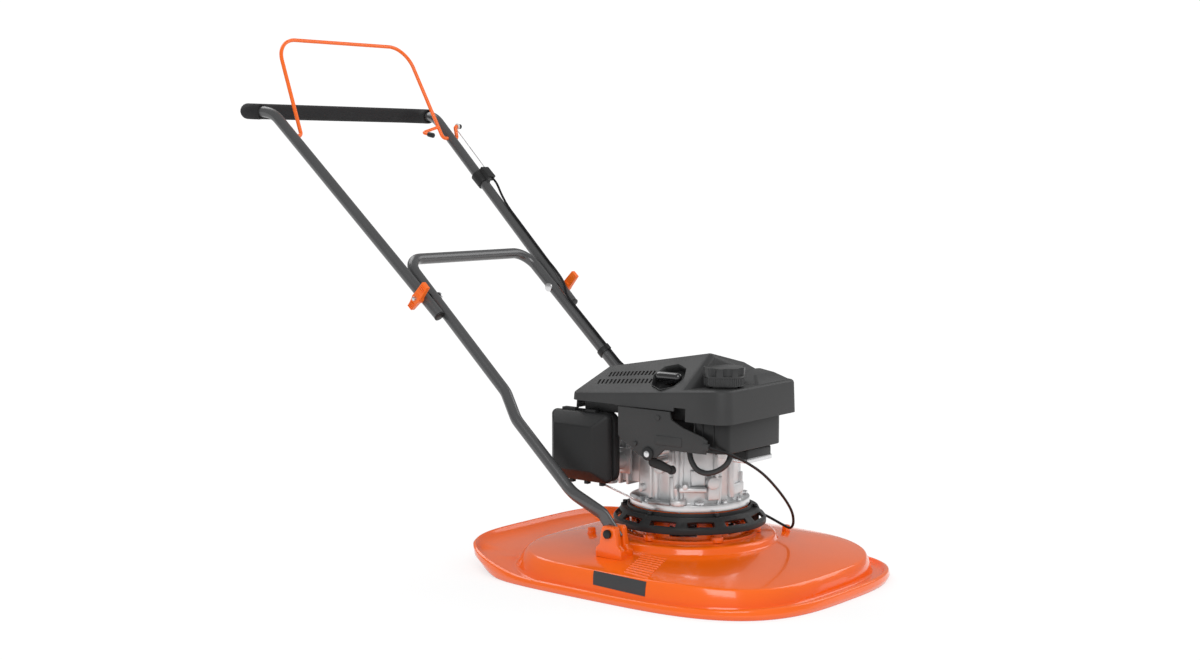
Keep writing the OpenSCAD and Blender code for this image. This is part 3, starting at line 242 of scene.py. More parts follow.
def dressed(piece, finish, node, stands_for=True):
    piece.data.materials.clear()
    piece.data.materials.append(finish)
    if stands_for:
        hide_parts(node)
    return piece


def fitted(piece, finish, node, stands_for=True):
    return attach(dressed(piece, finish, node, stands_for), body_of[node])


cable_black = moulded("cable_black", (0.010, 0.010, 0.011), 0.46, 900, 0.00005, shine=0.25)
hose_rubber = moulded("hose_rubber", (0.030, 0.031, 0.032), 0.55, 1500, 0.0001)
cable_r = 0.0025
hose_r = 0.005
lead_r = 0.0035
loop_route = [(0.178, 0.3105, 0.3605), (0.182, 0.258, 0.318), (0.180, 0.215, 0.256), (0.176, 0.165, 0.198),
    (0.172, 0.110, 0.152), (0.166, 0.050, 0.122), (0.154, -0.020, 0.106), (0.138, -0.085, 0.094),
    (0.124, -0.128, 0.086), (0.112, -0.152, 0.086), (0.106, -0.162, 0.100), (0.088, -0.168, 0.126),
    (0.040, -0.176, 0.165), (-0.028, -0.184, 0.210), (-0.091, -0.186, 0.242), (-0.136, -0.178, 0.262),
    (-0.151, -0.1524, 0.271)]
loop_line = flowing(loop_route)
cable_loop = dressed(drawn_round("brake_cable_loop", loop_line, cable_r), cable_black, "cable_loop")
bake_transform(cable_loop)

hose_route = [(-0.106, -0.165, 0.257), (-0.108, -0.166, 0.249), (-0.114, -0.165, 0.240),
    (-0.1177, -0.1589, 0.2323), (-0.121, -0.150, 0.226), (-0.1239, -0.1394, 0.2215),
    (-0.126, -0.128, 0.2195), (-0.1269, -0.117, 0.2208), (-0.127, -0.107, 0.225),
    (-0.1262, -0.099, 0.2327), (-0.125, -0.093, 0.242), (-0.124, -0.0908, 0.248),
    (-0.1232, -0.0894, 0.253), (-0.1225, -0.0885, 0.257), (-0.122, -0.088, 0.261)]
hose_line = flowing(hose_route, 3)
fuel_hose = fitted(drawn_round("fuel_hose_tube", hose_line, hose_r, 8), hose_rubber, "fuel_hose")

lead_route = [(0.100, 0.0566, 0.290), (0.1016, 0.0659, 0.2937), (0.102, 0.084, 0.298),
    (0.0989, 0.1151, 0.3017), (0.092, 0.150, 0.303), (0.0798, 0.1802, 0.3009), (0.064, 0.208, 0.292),
    (0.0446, 0.234, 0.2682),
    (0.026, 0.254, 0.242), (0.0129, 0.2628, 0.2242), (0.004, 0.264, 0.212), (0.0006, 0.2591, 0.2076),
    (0, 0.250, 0.207), (-0.0002, 0.2373, 0.2067), (0, 0.2264, 0.207)]
lead_line = flowing(lead_route, 3)
plug_lead = fitted(drawn_round("ignition_lead", lead_line, lead_r), cable_black, "plug_lead")

# Hood: one glossy moulding in orange ABS, about 4 mm thick, with a rolled rim, a raised lip at the back
# and a low dome. The skin is the solid's own mesh, made quads again and smoothed as the mould is.
# Two hexagonal bosses, a treaded foot rest and a plain dark plate on the near side are part of it.
def copy_of(node, name):
    piece = bpy.data.objects.new(name, frame["nodes"][node].data.copy())
    bpy.context.collection.objects.link(piece)
    return merged(piece)


def eased(piece, edge=0.0008, angle=32, segments=2):
    choose(piece)
    bpy.ops.object.mode_set(mode="EDIT")
    bpy.ops.mesh.select_all(action="SELECT")
    bpy.ops.mesh.dissolve_limited(angle_limit=radians(1.5))
    bpy.ops.object.mode_set(mode="OBJECT")
    if edge:
        corner = piece.modifiers.new("broken_edge", "BEVEL")
        corner.width = edge
        corner.segments = segments
        corner.limit_method = "ANGLE"
        corner.angle_limit = radians(angle)
        bpy.ops.object.modifier_apply(modifier="broken_edge")
    bpy.ops.object.shade_smooth_by_angle(angle=radians(angle))
    return piece


def turned(name, reach, length, middle, along, sides=32, edge=0.001, taper=1.0):
    aim = Vector(along).to_track_quat("Z", "Y").to_euler()
    bpy.ops.object.select_all(action="DESELECT")
    bpy.ops.mesh.primitive_cone_add(vertices=sides, radius1=reach, radius2=reach * taper, depth=length,
        location=middle, rotation=aim)
    piece = bpy.context.object
    piece.name = name
    bpy.ops.object.transform_apply(location=True, rotation=True, scale=True)
    return eased(piece, edge)


def block(name, size, middle, turn=0.0, edge=0.001, segments=2, lean=0.0):
    bpy.ops.object.select_all(action="DESELECT")
    bpy.ops.mesh.primitive_cube_add(size=1, location=middle, rotation=(0, lean, turn), scale=size)
    piece = bpy.context.object
    piece.name = name
    bpy.ops.object.transform_apply(location=True, rotation=True, scale=True)
    return eased(piece, edge, segments=segments)


def joined(*pieces):
    choose(*pieces)
    bpy.ops.object.join()
    return pieces[0]


def rounded(piece, levels):
    choose(piece)
    smoother = piece.modifiers.new("mould_radius", "SUBSURF")
    smoother.levels = levels
    smoother.render_levels = levels
    bpy.ops.object.modifier_apply(modifier="mould_radius")
    bpy.ops.object.shade_smooth()
    return piece


hood_steps = 76
crease_angle = radians(24)
crease_firmness = 0.6
dome_reach = 0.18


def spoke(vert):
    return round(atan2(vert.co.y - crank_y, vert.co.x) / (2 * pi / hood_steps)) % hood_steps


def around_wall(verts):
    crown = sorted(verts, key=lambda vert: -vert.co.z)[:2]
    path = sorted(crown, key=lambda vert: (vert.co.xy - Vector((0, crank_y))).length)
    while len(path) < len(verts):
        beside = (edge.other_vert(path[-1]) for edge in path[-1].link_edges)
        path.append(next(vert for vert in beside if vert in verts and vert not in path))
    return path


hood_orange = moulded("hood_orange", (0.94, 0.138, 0.005), 0.20, 260, 0.00003, mottle=0.03, coat=0.5,
    patch=5, shine=0.4)
hood = copy_of("deck_hood", "hood")
skin = bmesh.new()
skin.from_mesh(hood.data)
spokes = [set() for k in range(hood_steps)]
for vert in skin.verts:
    spokes[spoke(vert)].add(vert)
ring_of = {vert: i for held in spokes for i, vert in enumerate(around_wall(held))}
slants = [edge for edge in skin.edges if spoke(edge.verts[0]) != spoke(edge.verts[1])
    and ring_of[edge.verts[0]] != ring_of[edge.verts[1]]]
bmesh.ops.dissolve_edges(skin, edges=slants, use_verts=False)
skin.normal_update()
firmness = skin.edges.layers.float.new("crease_edge")
for edge in skin.edges:
    if edge.calc_face_angle(0) > crease_angle and edge.verts[0].co.xy.length > dome_reach:
        edge[firmness] = crease_firmness
skin.to_mesh(hood.data)
skin.free()
rounded(hood, 2)
fitted(hood, hood_orange, "deck_hood")


above_hood = 0.3


def on_hood(x, y, proud=0.0):
    place, normal = hood.ray_cast(from_crank(x, y, above_hood), Vector((0, 0, -1)))[1:3]
    return place + normal * proud


boss_r, boss_h, boss_lift = 0.0095, 0.018, 0.003
boss_places = ((-0.0808, 0.1705), (0.1744, -0.1016))
for i, (x, y) in enumerate(boss_places):
    spot = on_hood(x, y, boss_lift)
    boss = turned(f"hood_boss_{i + 1}", boss_r, boss_h, spot, (0, 0, 1), 6, 0.0015, 0.85)
    fitted(boss, hood_orange, "deck_hood", stands_for=False)

tread_edges = (((-0.2506, -0.0422), (-0.1720, -0.0220)), ((-0.2555, -0.0992), (-0.1680, -0.0720)))
rib_count = 10
rib_steps = 8
rib_r = 0.0022
rib_sink = 0.0008
ribs = []
for i in range(rib_count):
    t = i / (rib_count - 1)
    start, end = (Vector(edge[0]).lerp(Vector(edge[1]), t) for edge in tread_edges)
    line = [on_hood(*start.lerp(end, k / rib_steps), -rib_sink) for k in range(rib_steps + 1)]
    ribs.append(drawn_round(f"tread_{i + 1}", line, rib_r, 3))
fitted(joined(*ribs), hood_orange, "deck_hood", stands_for=False)

plate_dark = moulded("plate_dark", (0.045, 0.046, 0.048), 0.45, 900, 0.00003, mottle=0.05)
plate_corners = (((-0.2709, 0.0109, 0.0253), (-0.2696, -0.1028, 0.0217)),
    ((-0.2626, 0.0144, 0.0484), (-0.2625, -0.1015, 0.0460)))
plate_thick = 0.0008
plate_from, plate_look = Vector((-0.1, 0, 0.02)), Vector((1, 0, -0.2))
bpy.ops.object.select_all(action="DESELECT")
bpy.ops.mesh.primitive_grid_add(x_subdivisions=16, y_subdivisions=6, size=1)
plate = bpy.context.object
plate.name = "side_plate"
low, high = ([from_crank(*corner) for corner in pair] for pair in plate_corners)
for vert in plate.data.vertices:
    along, up = vert.co.x + 0.5, vert.co.y + 0.5
    aim = low[0].lerp(low[1], along).lerp(high[0].lerp(high[1], along), up)
    spot, normal = hood.ray_cast(aim + plate_from, plate_look)[1:3]
    vert.co = spot + normal * plate_thick / 2
backing = plate.modifiers.new("plate_thickness", "SOLIDIFY")
backing.thickness = plate_thick
backing.offset = 0
choose(plate)
bpy.ops.object.modifier_apply(modifier="plate_thickness")
bpy.ops.object.shade_smooth_by_angle(angle=radians(30))
fitted(plate, plate_dark, "deck_hood", stands_for=False)

# Turret and inlet ring: the turret is an orange moulding that lifts the engine over the air eye.
# The ring round it is black nylon with slots that let the air in, held by six black screws.
def from_solid(node, name, finish, edge=0.0008, segments=2):
    return fitted(eased(copy_of(node, name), edge, segments=segments), finish, node)


ring_black = moulded("ring_black", (0.018, 0.0185, 0.019), 0.44, 1100, 0.00006, shine=0.3)
screw_black = moulded("screw_black", (0.014, 0.014, 0.015), 0.38, 700, 0.00004, metal=0.3)
from_solid("engine_platform", "turret", hood_orange)
from_solid("intake_ring", "inlet_ring", ring_black, 0.001)
from_solid("ring_screws", "ring_screw_heads", screw_black)

# Handle brackets: orange mouldings of two thick ears on a flared foot, bonded to the hood.
# A black bolt with a nut behind it holds the flattened end of each handle leg in the narrow slot.
bright_steel = moulded("bright_steel", (0.72, 0.72, 0.73), 0.24, 500, 0.00004, mottle=0.08, metal=1.0)
pivot = from_crank(0.195, 0.025, 0.104)
slot_half = 0.0034
ear_inside = 0.0114
ear_margin = 0.0005
hands = (("right", -1), ("left", 1))
for hand, side in hands:
    bracket = copy_of(f"pivot_bracket_{hand}", f"bracket_{hand}")
    for vert in bracket.data.vertices:
        offset = vert.co.x - side * pivot.x
        if abs(offset) < ear_inside + ear_margin:
            vert.co.x = side * pivot.x + offset * slot_half / ear_inside
    fitted(eased(bracket, 0.002, segments=3), hood_orange, f"pivot_bracket_{hand}")
from_solid("pivot_bolts", "bracket_bolts", screw_black, 0.001)
from_solid("pivot_nuts", "bracket_nuts", bright_steel)

# Engine castings: the sump flange, the crankcase with its finned barrel and the valve cover, die cast in
# aluminium. The flange is machined bright, and the rest keeps its blasted skin. Ribs, pads, bosses and
# bolt heads stand on the near side of the case and on the flange.
cast_alloy = moulded("cast_alloy", (0.74, 0.745, 0.75), 0.46, 420, 0.00010, mottle=0.10, metal=0.8,
    patch=26)
turned_alloy = moulded("turned_alloy", (0.76, 0.765, 0.77), 0.32, 700, 0.00003, mottle=0.08, metal=0.9,
    patch=34)
milled_alloy = moulded("milled_alloy", (0.36, 0.37, 0.38), 0.34, 900, 0.00004, mottle=0.10, metal=1.0,
    patch=40)
sheet_steel = moulded("sheet_steel", (0.36, 0.36, 0.37), 0.40, 600, 0.00008, mottle=0.15, metal=1.0)
ceramic = moulded("plug_ceramic", (0.78, 0.78, 0.76), 0.25, 600, 0.00003, mottle=0.04)
rubber = moulded("black_rubber", (0.013, 0.013, 0.014), 0.55, 900, 0.0001)
from_solid("sump_flange", "engine_flange", turned_alloy, 0.0012)
from_solid("engine_bolts", "engine_bolt_heads", bright_steel)
from_solid("crankcase", "engine_case", cast_alloy, 0.0015)
from_solid("valve_cover", "engine_valve_cover", cast_alloy, 0.003, 3)
from_solid("spark_plug", "ignition_plug", ceramic)
from_solid("ignition_coil", "coil_block", rubber, 0.002)
from_solid("oil_plug", "oil_filler_plug", ring_black, 0.001)


def round_case(degrees, reach, z):
    return from_crank(reach * cos(radians(degrees)), reach * sin(radians(degrees)), z)


def outward(degrees):
    return (cos(radians(degrees)), sin(radians(degrees)), 0)


case_ribs = ((176, 0.0955, 0.198, 0.090, 0.007), (201, 0.0945, 0.203, 0.098, 0.007),
    (207, 0.0945, 0.203, 0.098, 0.005), (246, 0.0945, 0.196, 0.084, 0.006),
    (268, 0.0945, 0.200, 0.090, 0.008))
castings = [turned(f"case_rib_{i + 1}", size, tall, round_case(turn, reach, z), (0, 0, 1), 24, 0.002)
    for i, (turn, reach, z, tall, size) in enumerate(case_ribs)]
case_pads = ((163, 0.090, 0.196, (0.026, 0.036, 0.085)), (188, 0.090, 0.228, (0.020, 0.040, 0.036)),
    (225, 0.091, 0.196, (0.020, 0.028, 0.030)), (219, 0.097, 0.176, (0.034, 0.050, 0.010)),
    (240, 0.096, 0.168, (0.026, 0.022, 0.026)), (282, 0.091, 0.168, (0.018, 0.046, 0.020)))
castings += [block(f"case_pad_{i + 1}", size, round_case(turn, reach, z), radians(turn), 0.003, 3)
    for i, (turn, reach, z, size) in enumerate(case_pads)]
case_bosses = ((239, 0.097, 0.187, 0.0115, 0.030), (160, 0.101, 0.171, 0.0075, 0.016),
    (184, 0.096, 0.214, 0.012, 0.024), (212, 0.112, 0.182, 0.005, 0.010))
castings += [turned(f"case_boss_{i + 1}", reach, long, round_case(turn, out, z), outward(turn), 24, 0.0015)
    for i, (turn, out, z, reach, long) in enumerate(case_bosses)]
web_at, web_lean = 203, 0.35
web_spot = round_case(web_at, 0.100, 0.163)
castings.append(block("case_web", (0.016, 0.006, 0.040), web_spot, radians(web_at), 0.002, 2, web_lean))
castings.append(turned("flange_lug", 0.015, 0.010, round_case(205, 0.106, 0.152), (0, 0, 1), 24, 0.002))
fitted(joined(*castings), cast_alloy, "crankcase", stands_for=False)

flange_top = 0.150
flange_pads = ((154, 0.100, (0.026, 0.040, 0.012)), (186, 0.101, (0.024, 0.046, 0.008)))
milled = [block(f"flange_pad_{i + 1}", size, round_case(turn, reach, flange_top), radians(turn), 0.0015)
    for i, (turn, reach, size) in enumerate(flange_pads)]
fitted(joined(*milled), milled_alloy, "sump_flange", stands_for=False)
stud_r, stud_h, stud_circle = 0.0055, 0.011, 0.104
stud_places = ((168, 0.149), (228, 0.149), (254, 0.149), (276, 0.149), (206, 0.1305))
stud_spots = [round_case(turn, stud_circle, z) for turn, z in stud_places]
studs = [turned(f"flange_stud_{i + 1}", stud_r, stud_h, spot, (0, 0, 1), 6, 0.0008)
    for i, spot in enumerate(stud_spots)]
fitted(joined(*studs), bright_steel, "sump_flange", stands_for=False)

# Carburettor and air box: a die cast carburettor, a black tray on it, a folded paper element
# and a clip-on moulded lid with a soft edge. Two thin steel links run from the carburettor to the governor.
def wrapped(*pieces):
    form = joined(*pieces)
    bpy.ops.object.mode_set(mode="EDIT")
    bpy.ops.mesh.select_all(action="SELECT")
    bpy.ops.mesh.convex_hull(use_existing_faces=False)
    bpy.ops.mesh.select_all(action="SELECT")
    bpy.ops.mesh.dissolve_limited(angle_limit=radians(0.5))
    bpy.ops.mesh.normals_make_consistent(inside=False)
    bpy.ops.object.mode_set(mode="OBJECT")
    bpy.ops.object.shade_smooth_by_angle(angle=radians(40))
    return form


cover_black = moulded("air_box_black", (0.019, 0.0195, 0.020), 0.48, 1500, 0.00006, shine=0.25)
paper_buff = moulded("filter_paper", (0.62, 0.50, 0.30), 0.85, 800, 0.0002)
from_solid("carburettor", "carburettor_body", cast_alloy, 0.0012)
from_solid("air_box_base", "air_box_tray", cover_black, 0.0015)
from_solid("air_filter", "air_element", paper_buff, 0.001)
lid_low = (-0.1678, 0.0785, 0.1775)
lid_high = (-0.1285, 0.2160, 0.3075)
lid_depth = lid_high[0] - lid_low[0]
lid_wide, lid_tall = lid_high[1] - lid_low[1], lid_high[2] - lid_low[2]
lid_middle = from_crank(*((low + high) / 2 for low, high in zip(lid_low, lid_high)))
skirt_depth = 0.022
face_inset = 0.019
lid = wrapped(block("air_box_lid", (skirt_depth, lid_wide, lid_tall),
        lid_middle + Vector(((lid_depth - skirt_depth) / 2, 0, 0)), edge=0.0105, segments=6),
    block("air_box_face", (skirt_depth, lid_wide - 2 * face_inset, lid_tall - 2 * face_inset),
        lid_middle - Vector(((lid_depth - skirt_depth) / 2, 0, 0)), edge=0.0075, segments=6))
tab_x, tab_z = -0.134, 0.3085
tab_runs = ((0.126, 0.024), (0.1785, 0.031))
tabs = [block(f"air_box_tab_{i + 1}", (0.013, long, 0.007), from_crank(tab_x, y, tab_z))
    for i, (y, long) in enumerate(tab_runs)]
foot_x, foot_z = -0.136, 0.1765
foot_places = (0.100, 0.136, 0.172)
feet = [block(f"air_box_foot_{i + 1}", (0.010, 0.009, 0.010), from_crank(foot_x, y, foot_z))
    for i, y in enumerate(foot_places)]
fitted(joined(lid, *tabs, *feet), cover_black, "air_box_cover")
link_r = 0.0009
link_ends = (((-0.128, 0.104, 0.174), (-0.106, 0.050, 0.150)),
    ((-0.126, 0.104, 0.171), (-0.104, 0.050, 0.147)))
link_rods = [drawn_round(f"governor_link_{i + 1}", [from_crank(*start), from_crank(*end)], link_r, 3)
    for i, (start, end) in enumerate(link_ends)]
fitted(joined(*link_rods), bright_steel, "carburettor", stands_for=False)

# Exhaust: a box pressed from sheet steel, on the far side of the barrel.
# A slotted guard of thinner sheet stands off it and keeps hands from the heat.
from_solid("muffler", "exhaust_box", sheet_steel, 0.002)
from_solid("muffler_guard", "exhaust_guard", sheet_steel, 0.0004)

# Fuel tank: a blow moulded black tank under the front of the cover. A shoe with a bright steel strap
# lies below it, and a screw cap with finger hollows and a ribbed skirt closes its neck.
tank_black = moulded("tank_black", (0.011, 0.0113, 0.0118), 0.34, 900, 0.00005, shine=0.35)
from_solid("fuel_tank", "fuel_tank_shell", tank_black, 0.003, 3)
seam_x, seam_z = -0.1385, 0.288
seam_places = (-0.128, -0.152)
seams = [block(f"tank_seam_{i + 1}", (0.002, 0.003, 0.052), from_crank(seam_x, y, seam_z), edge=0.0005)
    for i, y in enumerate(seam_places)]
fitted(joined(*seams), tank_black, "fuel_tank", stands_for=False)
from_solid("tank_shoe", "fuel_tank_shoe", tank_black, 0.004, 4)
strap_middle = from_crank(-0.027, -0.158, 0.2375)
strap = block("tank_strap", (0.0785, 0.0346, 0.009), strap_middle, edge=0.002)
fitted(strap, bright_steel, "tank_shoe", stands_for=False)
cap_grey = moulded("cap_grey", (0.023, 0.0235, 0.024), 0.34, 1200, 0.00005)
from_solid("fuel_cap", "filler_cap", cap_grey, 0.0025, 4)
cap_middle = (-0.093, -0.142)
cap_rib_count = 48
cap_rib_circle = 0.0352
cap_rib_z = 0.3825
cap_ribs = []
for i in range(cap_rib_count):
    a = 2 * pi * i / cap_rib_count
    across, along = cap_rib_circle * cos(a), cap_rib_circle * sin(a)
    spot = from_crank(cap_middle[0] + across, cap_middle[1] + along, cap_rib_z)
    cap_ribs.append(block(f"cap_rib_{i + 1}", (0.0014, 0.0022, 0.013), spot, a, 0.0004, 1))
fitted(joined(*cap_ribs), cap_grey, "fuel_cap", stands_for=False)

# Control panel: a dark moulded plate on the near side, with two rivets, a raised oval and a hub round its
# screw. The brake arm turns behind it, and the fuel lever hangs below.
panel_grey = moulded("panel_grey", (0.037, 0.0375, 0.038), 0.48, 1500, 0.00004, shine=0.35)
from_solid("control_panel", "panel_plate", panel_grey, 0.0008)
panel_face = -0.153
panel_out = (-1, 0, 0)
oval_middle = from_crank(panel_face, -0.065, 0.2735)
oval = block("panel_oval", (0.003, 0.058, 0.017), oval_middle, edge=0.0014, segments=3)
rivet_spots = [from_crank(panel_face - 0.0008, y, z) for y, z in ((-0.042, 0.314), (0.010, 0.262))]
rivets = [turned(f"panel_rivet_{i + 1}", 0.0042, 0.005, spot, panel_out, 24, 0.0012)
    for i, spot in enumerate(rivet_spots)]
fitted(joined(oval, *rivets), panel_grey, "control_panel", stands_for=False)
hub_middle = from_crank(panel_face - 0.001, -0.0185, 0.2465)
hub = turned("panel_hub", 0.0125, 0.004, hub_middle, panel_out, 32, 0.0015)
fitted(hub, ring_black, "control_panel", stands_for=False)
from_solid("panel_screw", "panel_screw_head", bright_steel, 0.0008)
from_solid("brake_arm", "brake_arm_plate", bright_steel, 0.0005)
lever_discs = ((0.0085, -0.016, 0.228), (0.0085, -0.034, 0.2245), (0.0065, -0.0535, 0.219))
lever_x, lever_thick = -0.1345, 0.0075
discs = [turned(f"lever_disc_{i + 1}", reach, lever_thick, from_crank(lever_x, y, z), panel_out, 32, 0.002)
    for i, (reach, y, z) in enumerate(lever_discs)]
paddle = wrapped(*discs)
lever_root = eased(copy_of("fuel_lever", "fuel_lever_grip"), 0.002, segments=3)
fitted(joined(lever_root, paddle), ring_black, "fuel_lever")

# Top cover: one dark moulding over the engine, with a hump, a front deck, two rows of vents and a cup for
# the grip. Each form is drawn tight over round posts, as the mould's soft edges are, and hollowed to 3 mm.
def soft_top(x, y, reach, edge, top, inset, least=0.0005):
    bpy.ops.mesh.primitive_torus_add(location=from_crank(x, y, top - edge - inset), major_segments=32,
        minor_segments=12, major_radius=max(reach - edge - inset, least), minor_radius=edge)
    return bpy.context.object


def posted(name, feet, peaks, foot_z, inset=0.0):
    bpy.ops.object.select_all(action="DESELECT")
    rings = []
    for x, y, reach, edge, top, draft in feet:
        rings.append(soft_top(x, y, reach, edge, top, inset))
        bpy.ops.mesh.primitive_circle_add(vertices=32, radius=reach + draft - inset,
            location=from_crank(x, y, foot_z - 2 * inset / 3))
        rings.append(bpy.context.object)
    rings += [soft_top(*peak, inset) for peak in peaks]
    for ring in rings:
        choose(ring)
        bpy.ops.object.transform_apply(location=True, rotation=True, scale=True)
    form = wrapped(*rings)
    form.name = name
    return form


def shaped(piece, tool, way="DIFFERENCE"):
    change = piece.modifiers.new("moulding", "BOOLEAN")
    change.operation = way
    change.solver = "EXACT"
    change.object = tool
    choose(piece)
    bpy.ops.object.modifier_apply(modifier="moulding")
    bpy.data.objects.remove(tool)
    return piece


crease_front, crease_tail = 0.373, 0.344
cover_front, cover_tail = -0.180, 0.168
slope_foot = -0.147
slope = radians(36)
skirt_low = 0.311
cover_wall = 0.003


def crease_at(y):
    return crease_front + (crease_tail - crease_front) * (y - cover_front) / (cover_tail - cover_front)


def on_slope(y, run):
    return from_crank(slope_foot + run * cos(slope), y, crease_at(y) + run * sin(slope))


def corner_post(x, y, reach, edge, draft=0.0):
    return (x, y, reach, edge, crease_at(y), draft)


def cover_form(name, inset=0.0):
    soft = 0.007 - inset
    skirt = [corner_post(x, y, reach, soft, 0.002) for x, y, reach in ((-0.1225, -0.1575, 0.025),
        (0.070, -0.162, 0.018), (0.100, -0.105, 0.018), (0.104, 0.105, 0.018), (0.080, 0.152, 0.018),
        (-0.1295, 0.150, 0.018))]
    hump = [corner_post(x, y, 0.018, soft, 0.002) for x, y in ((-0.1295, -0.082), (0.098, -0.100),
        (0.104, 0.105), (0.080, 0.152), (-0.1295, 0.150))]
    ridge = [(x, y, 0.012, 0.010 - inset, top) for x, y, top in ((-0.058, -0.086, 0.424),
        (0.038, -0.086, 0.401), (0.032, 0.100, 0.366), (-0.088, 0.113, 0.3895))]
    deck = [corner_post(x, y, 0.010, 0.005 - inset / 2) for x, y in ((-0.026, -0.165), (0.070, -0.165),
        (0.100, -0.105), (-0.026, -0.090))]
    plateau = [(x, y, 0.008, 0.005 - inset / 2, 0.3865) for x, y in ((-0.012, -0.152), (0.042, -0.152),
        (0.072, -0.105), (-0.012, -0.090))]
    form = posted(name, skirt, [], skirt_low, inset)
    shaped(form, posted("hump", hump, ridge, skirt_low + 0.002, inset), "UNION")
    return shaped(form, posted("deck", deck, plateau, skirt_low + 0.004, inset), "UNION")


cover_grey = moulded("cover_grey", (0.039, 0.0395, 0.040), 0.50, 1500, 0.00005, shine=0.35)
cover = cover_form("engine_cover")
vent_size = (0.0115, 0.0044, 0.03)
vent_rows = ((14, (0.117, 0.027), (-0.002, 0.028)), (13, (0.102, 0.046), (0.004, 0.050)))
slots = []
for count, first, last in vent_rows:
    for i in range(count):
        y, run = Vector(first).lerp(Vector(last), i / (count - 1))
        slots.append(block(f"vent_{len(slots) + 1}", vent_size, on_slope(y, run), edge=0, lean=-slope))
shaped(cover, joined(*slots))
notch_x, notch_deep = -0.142, 0.030
notch_under, notch_step = 0.006, 0.001
skirt_notches = ((0.061, 0.200, 0.3285), (-0.098, -0.072, 0.334), (-0.073, 0.063, 0.3275))
for i, (start, end, top) in enumerate(skirt_notches):
    below = skirt_low - notch_under - notch_step * i
    middle = from_crank(notch_x, (start + end) / 2, (top + below) / 2)
    notch_size = (notch_deep + 2 * notch_step * i, end - start, top - below)
    shaped(cover, block("notch", notch_size, middle, edge=0))
neck_r, neck_l, neck_z = 0.028, 0.030, 0.370
shaped(cover, turned("neck_hole", neck_r, neck_l, from_crank(*cap_middle, neck_z), (0, 0, 1), 48, 0))
pull_axis = Vector((-sin(slope), 0, cos(slope)))
cup_sides = 8
cup_depth, cup_base = 0.016, 0.002
cup_r, cup_inside_r, cup_hole_r, rope_eye_r = 0.0355, 0.0335, 0.034, 0.004
cup_l, cup_inside_l, cup_hole_l = 0.018, 0.030, 0.040
cup_floor = on_slope(-0.038, 0.038) - cup_depth * pull_axis
hole_middle = cup_floor + cup_hole_l / 2 * pull_axis
shaped(cover, turned("cup", cup_hole_r, cup_hole_l, hole_middle, pull_axis, cup_sides, 0))
shaped(cover, cover_form("cover_hollow", cover_wall))
cup_middle = cup_floor + (cup_l / 2 - cup_base) * pull_axis
inside_middle = cup_floor + (cup_inside_l / 2 + 0.0005) * pull_axis
cup = turned("cover_cup_painted_shade", cup_r, cup_l, cup_middle, pull_axis, cup_sides, 0)
shaped(cup, turned("cup_inside", cup_inside_r, cup_inside_l, inside_middle, pull_axis, cup_sides, 0))
shaped(cup, turned("rope_eye", rope_eye_r, cup_inside_l, cup_floor, pull_axis, 24, 0))
choose(cover)
bpy.ops.object.shade_smooth_by_angle(angle=radians(28))
fitted(cover, cover_grey, "top_cover")
# The cup belongs to the grey cover moulding but gets the near black ring finish: painted shade in the
# recess.
fitted(cup, ring_black, "top_cover", stands_for=False)
# Two thin near black sheets just inside the skirt notches: painted shade inside the hollow cover, seen
# through the openings.
shade_sheets = [block("cover_painted_shade_sheet", (0.004, 0.248, 0.036), from_crank(-0.124, 0.026, 0.327), edge=0.0008),
    block("tank_painted_shade_sheet", (0.004, 0.050, 0.046), from_crank(-0.118, -0.073, 0.292), edge=0.0008)]
fitted(joined(*shade_sheets), ring_black, "top_cover", stands_for=False)

# Recoil starter: a pressed frame over the flywheel carries the rope pulley and its spring.
# A white cord runs from the pulley to a glossy black grip in the cover's cup.
rope_white = moulded("rope_white", (0.70, 0.69, 0.66), 0.75, 900, 0.0002)
grip_gloss = moulded("grip_gloss", (0.010, 0.010, 0.011), 0.12, 500, 0.00002, coat=0.8)
from_solid("recoil_frame", "starter_frame", sheet_steel)
from_solid("recoil_spring", "starter_spring", bright_steel, 0)
from_solid("recoil_pulley", "starter_pulley", ring_black)


def reaching(piece, finish, node):
    dressed(piece, finish, node)
    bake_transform(piece)


starter_cord = eased(copy_of("starter_rope", "starter_cord"), 0)
reaching(starter_cord, rope_white, "starter_rope")
fitted(rounded(eased(copy_of("starter_grip", "starter_handle"), 0), 1), grip_gloss, "starter_grip")

# Rotor: the crankshaft turns the flywheel at the top and the impeller and blade below the hood.
# The blade is clamped by one bolt with two plastic spacers that set the height of cut.
blade_steel = moulded("blade_steel", (0.24, 0.245, 0.25), 0.36, 500, 0.00008, mottle=0.15, metal=1.0)
for node, finish in (("crankshaft", bright_steel), ("flywheel", cast_alloy), ("impeller", ring_black),
        ("blade_spacers", ring_black), ("blade", blade_steel), ("blade_washer", bright_steel),
        ("blade_bolt", bright_steel)):
    from_solid(node, "rotor_" + node, finish)

# Handle: two bent steel tubes, 22 mm across, painted dark grey. The lower one is pressed flat at the hood's
# brackets, and the upper one folds down over it once the two lever nuts are loose.
def bent(points, bends, step=radians(4)):
    line = [points[0]]
    for before, corner, after, bend in zip(points, points[1:], points[2:], bends):
        u, v = (corner - before).normalized(), (after - corner).normalized()
        turn = u.angle(v)
        start = corner - u * bend * tan(turn / 2)
        inward = (v - u * u.dot(v)).normalized()
        middle = start + inward * bend
        count = max(2, ceil(turn / step))
        angles = (turn * k / count for k in range(count + 1))
        line += [middle + (u * sin(a) - inward * cos(a)) * bend for a in angles]
    return line + [points[-1]]


def mirrored(points):
    return [Vector((-p.x, p.y, p.z)) for p in points] + points[::-1]


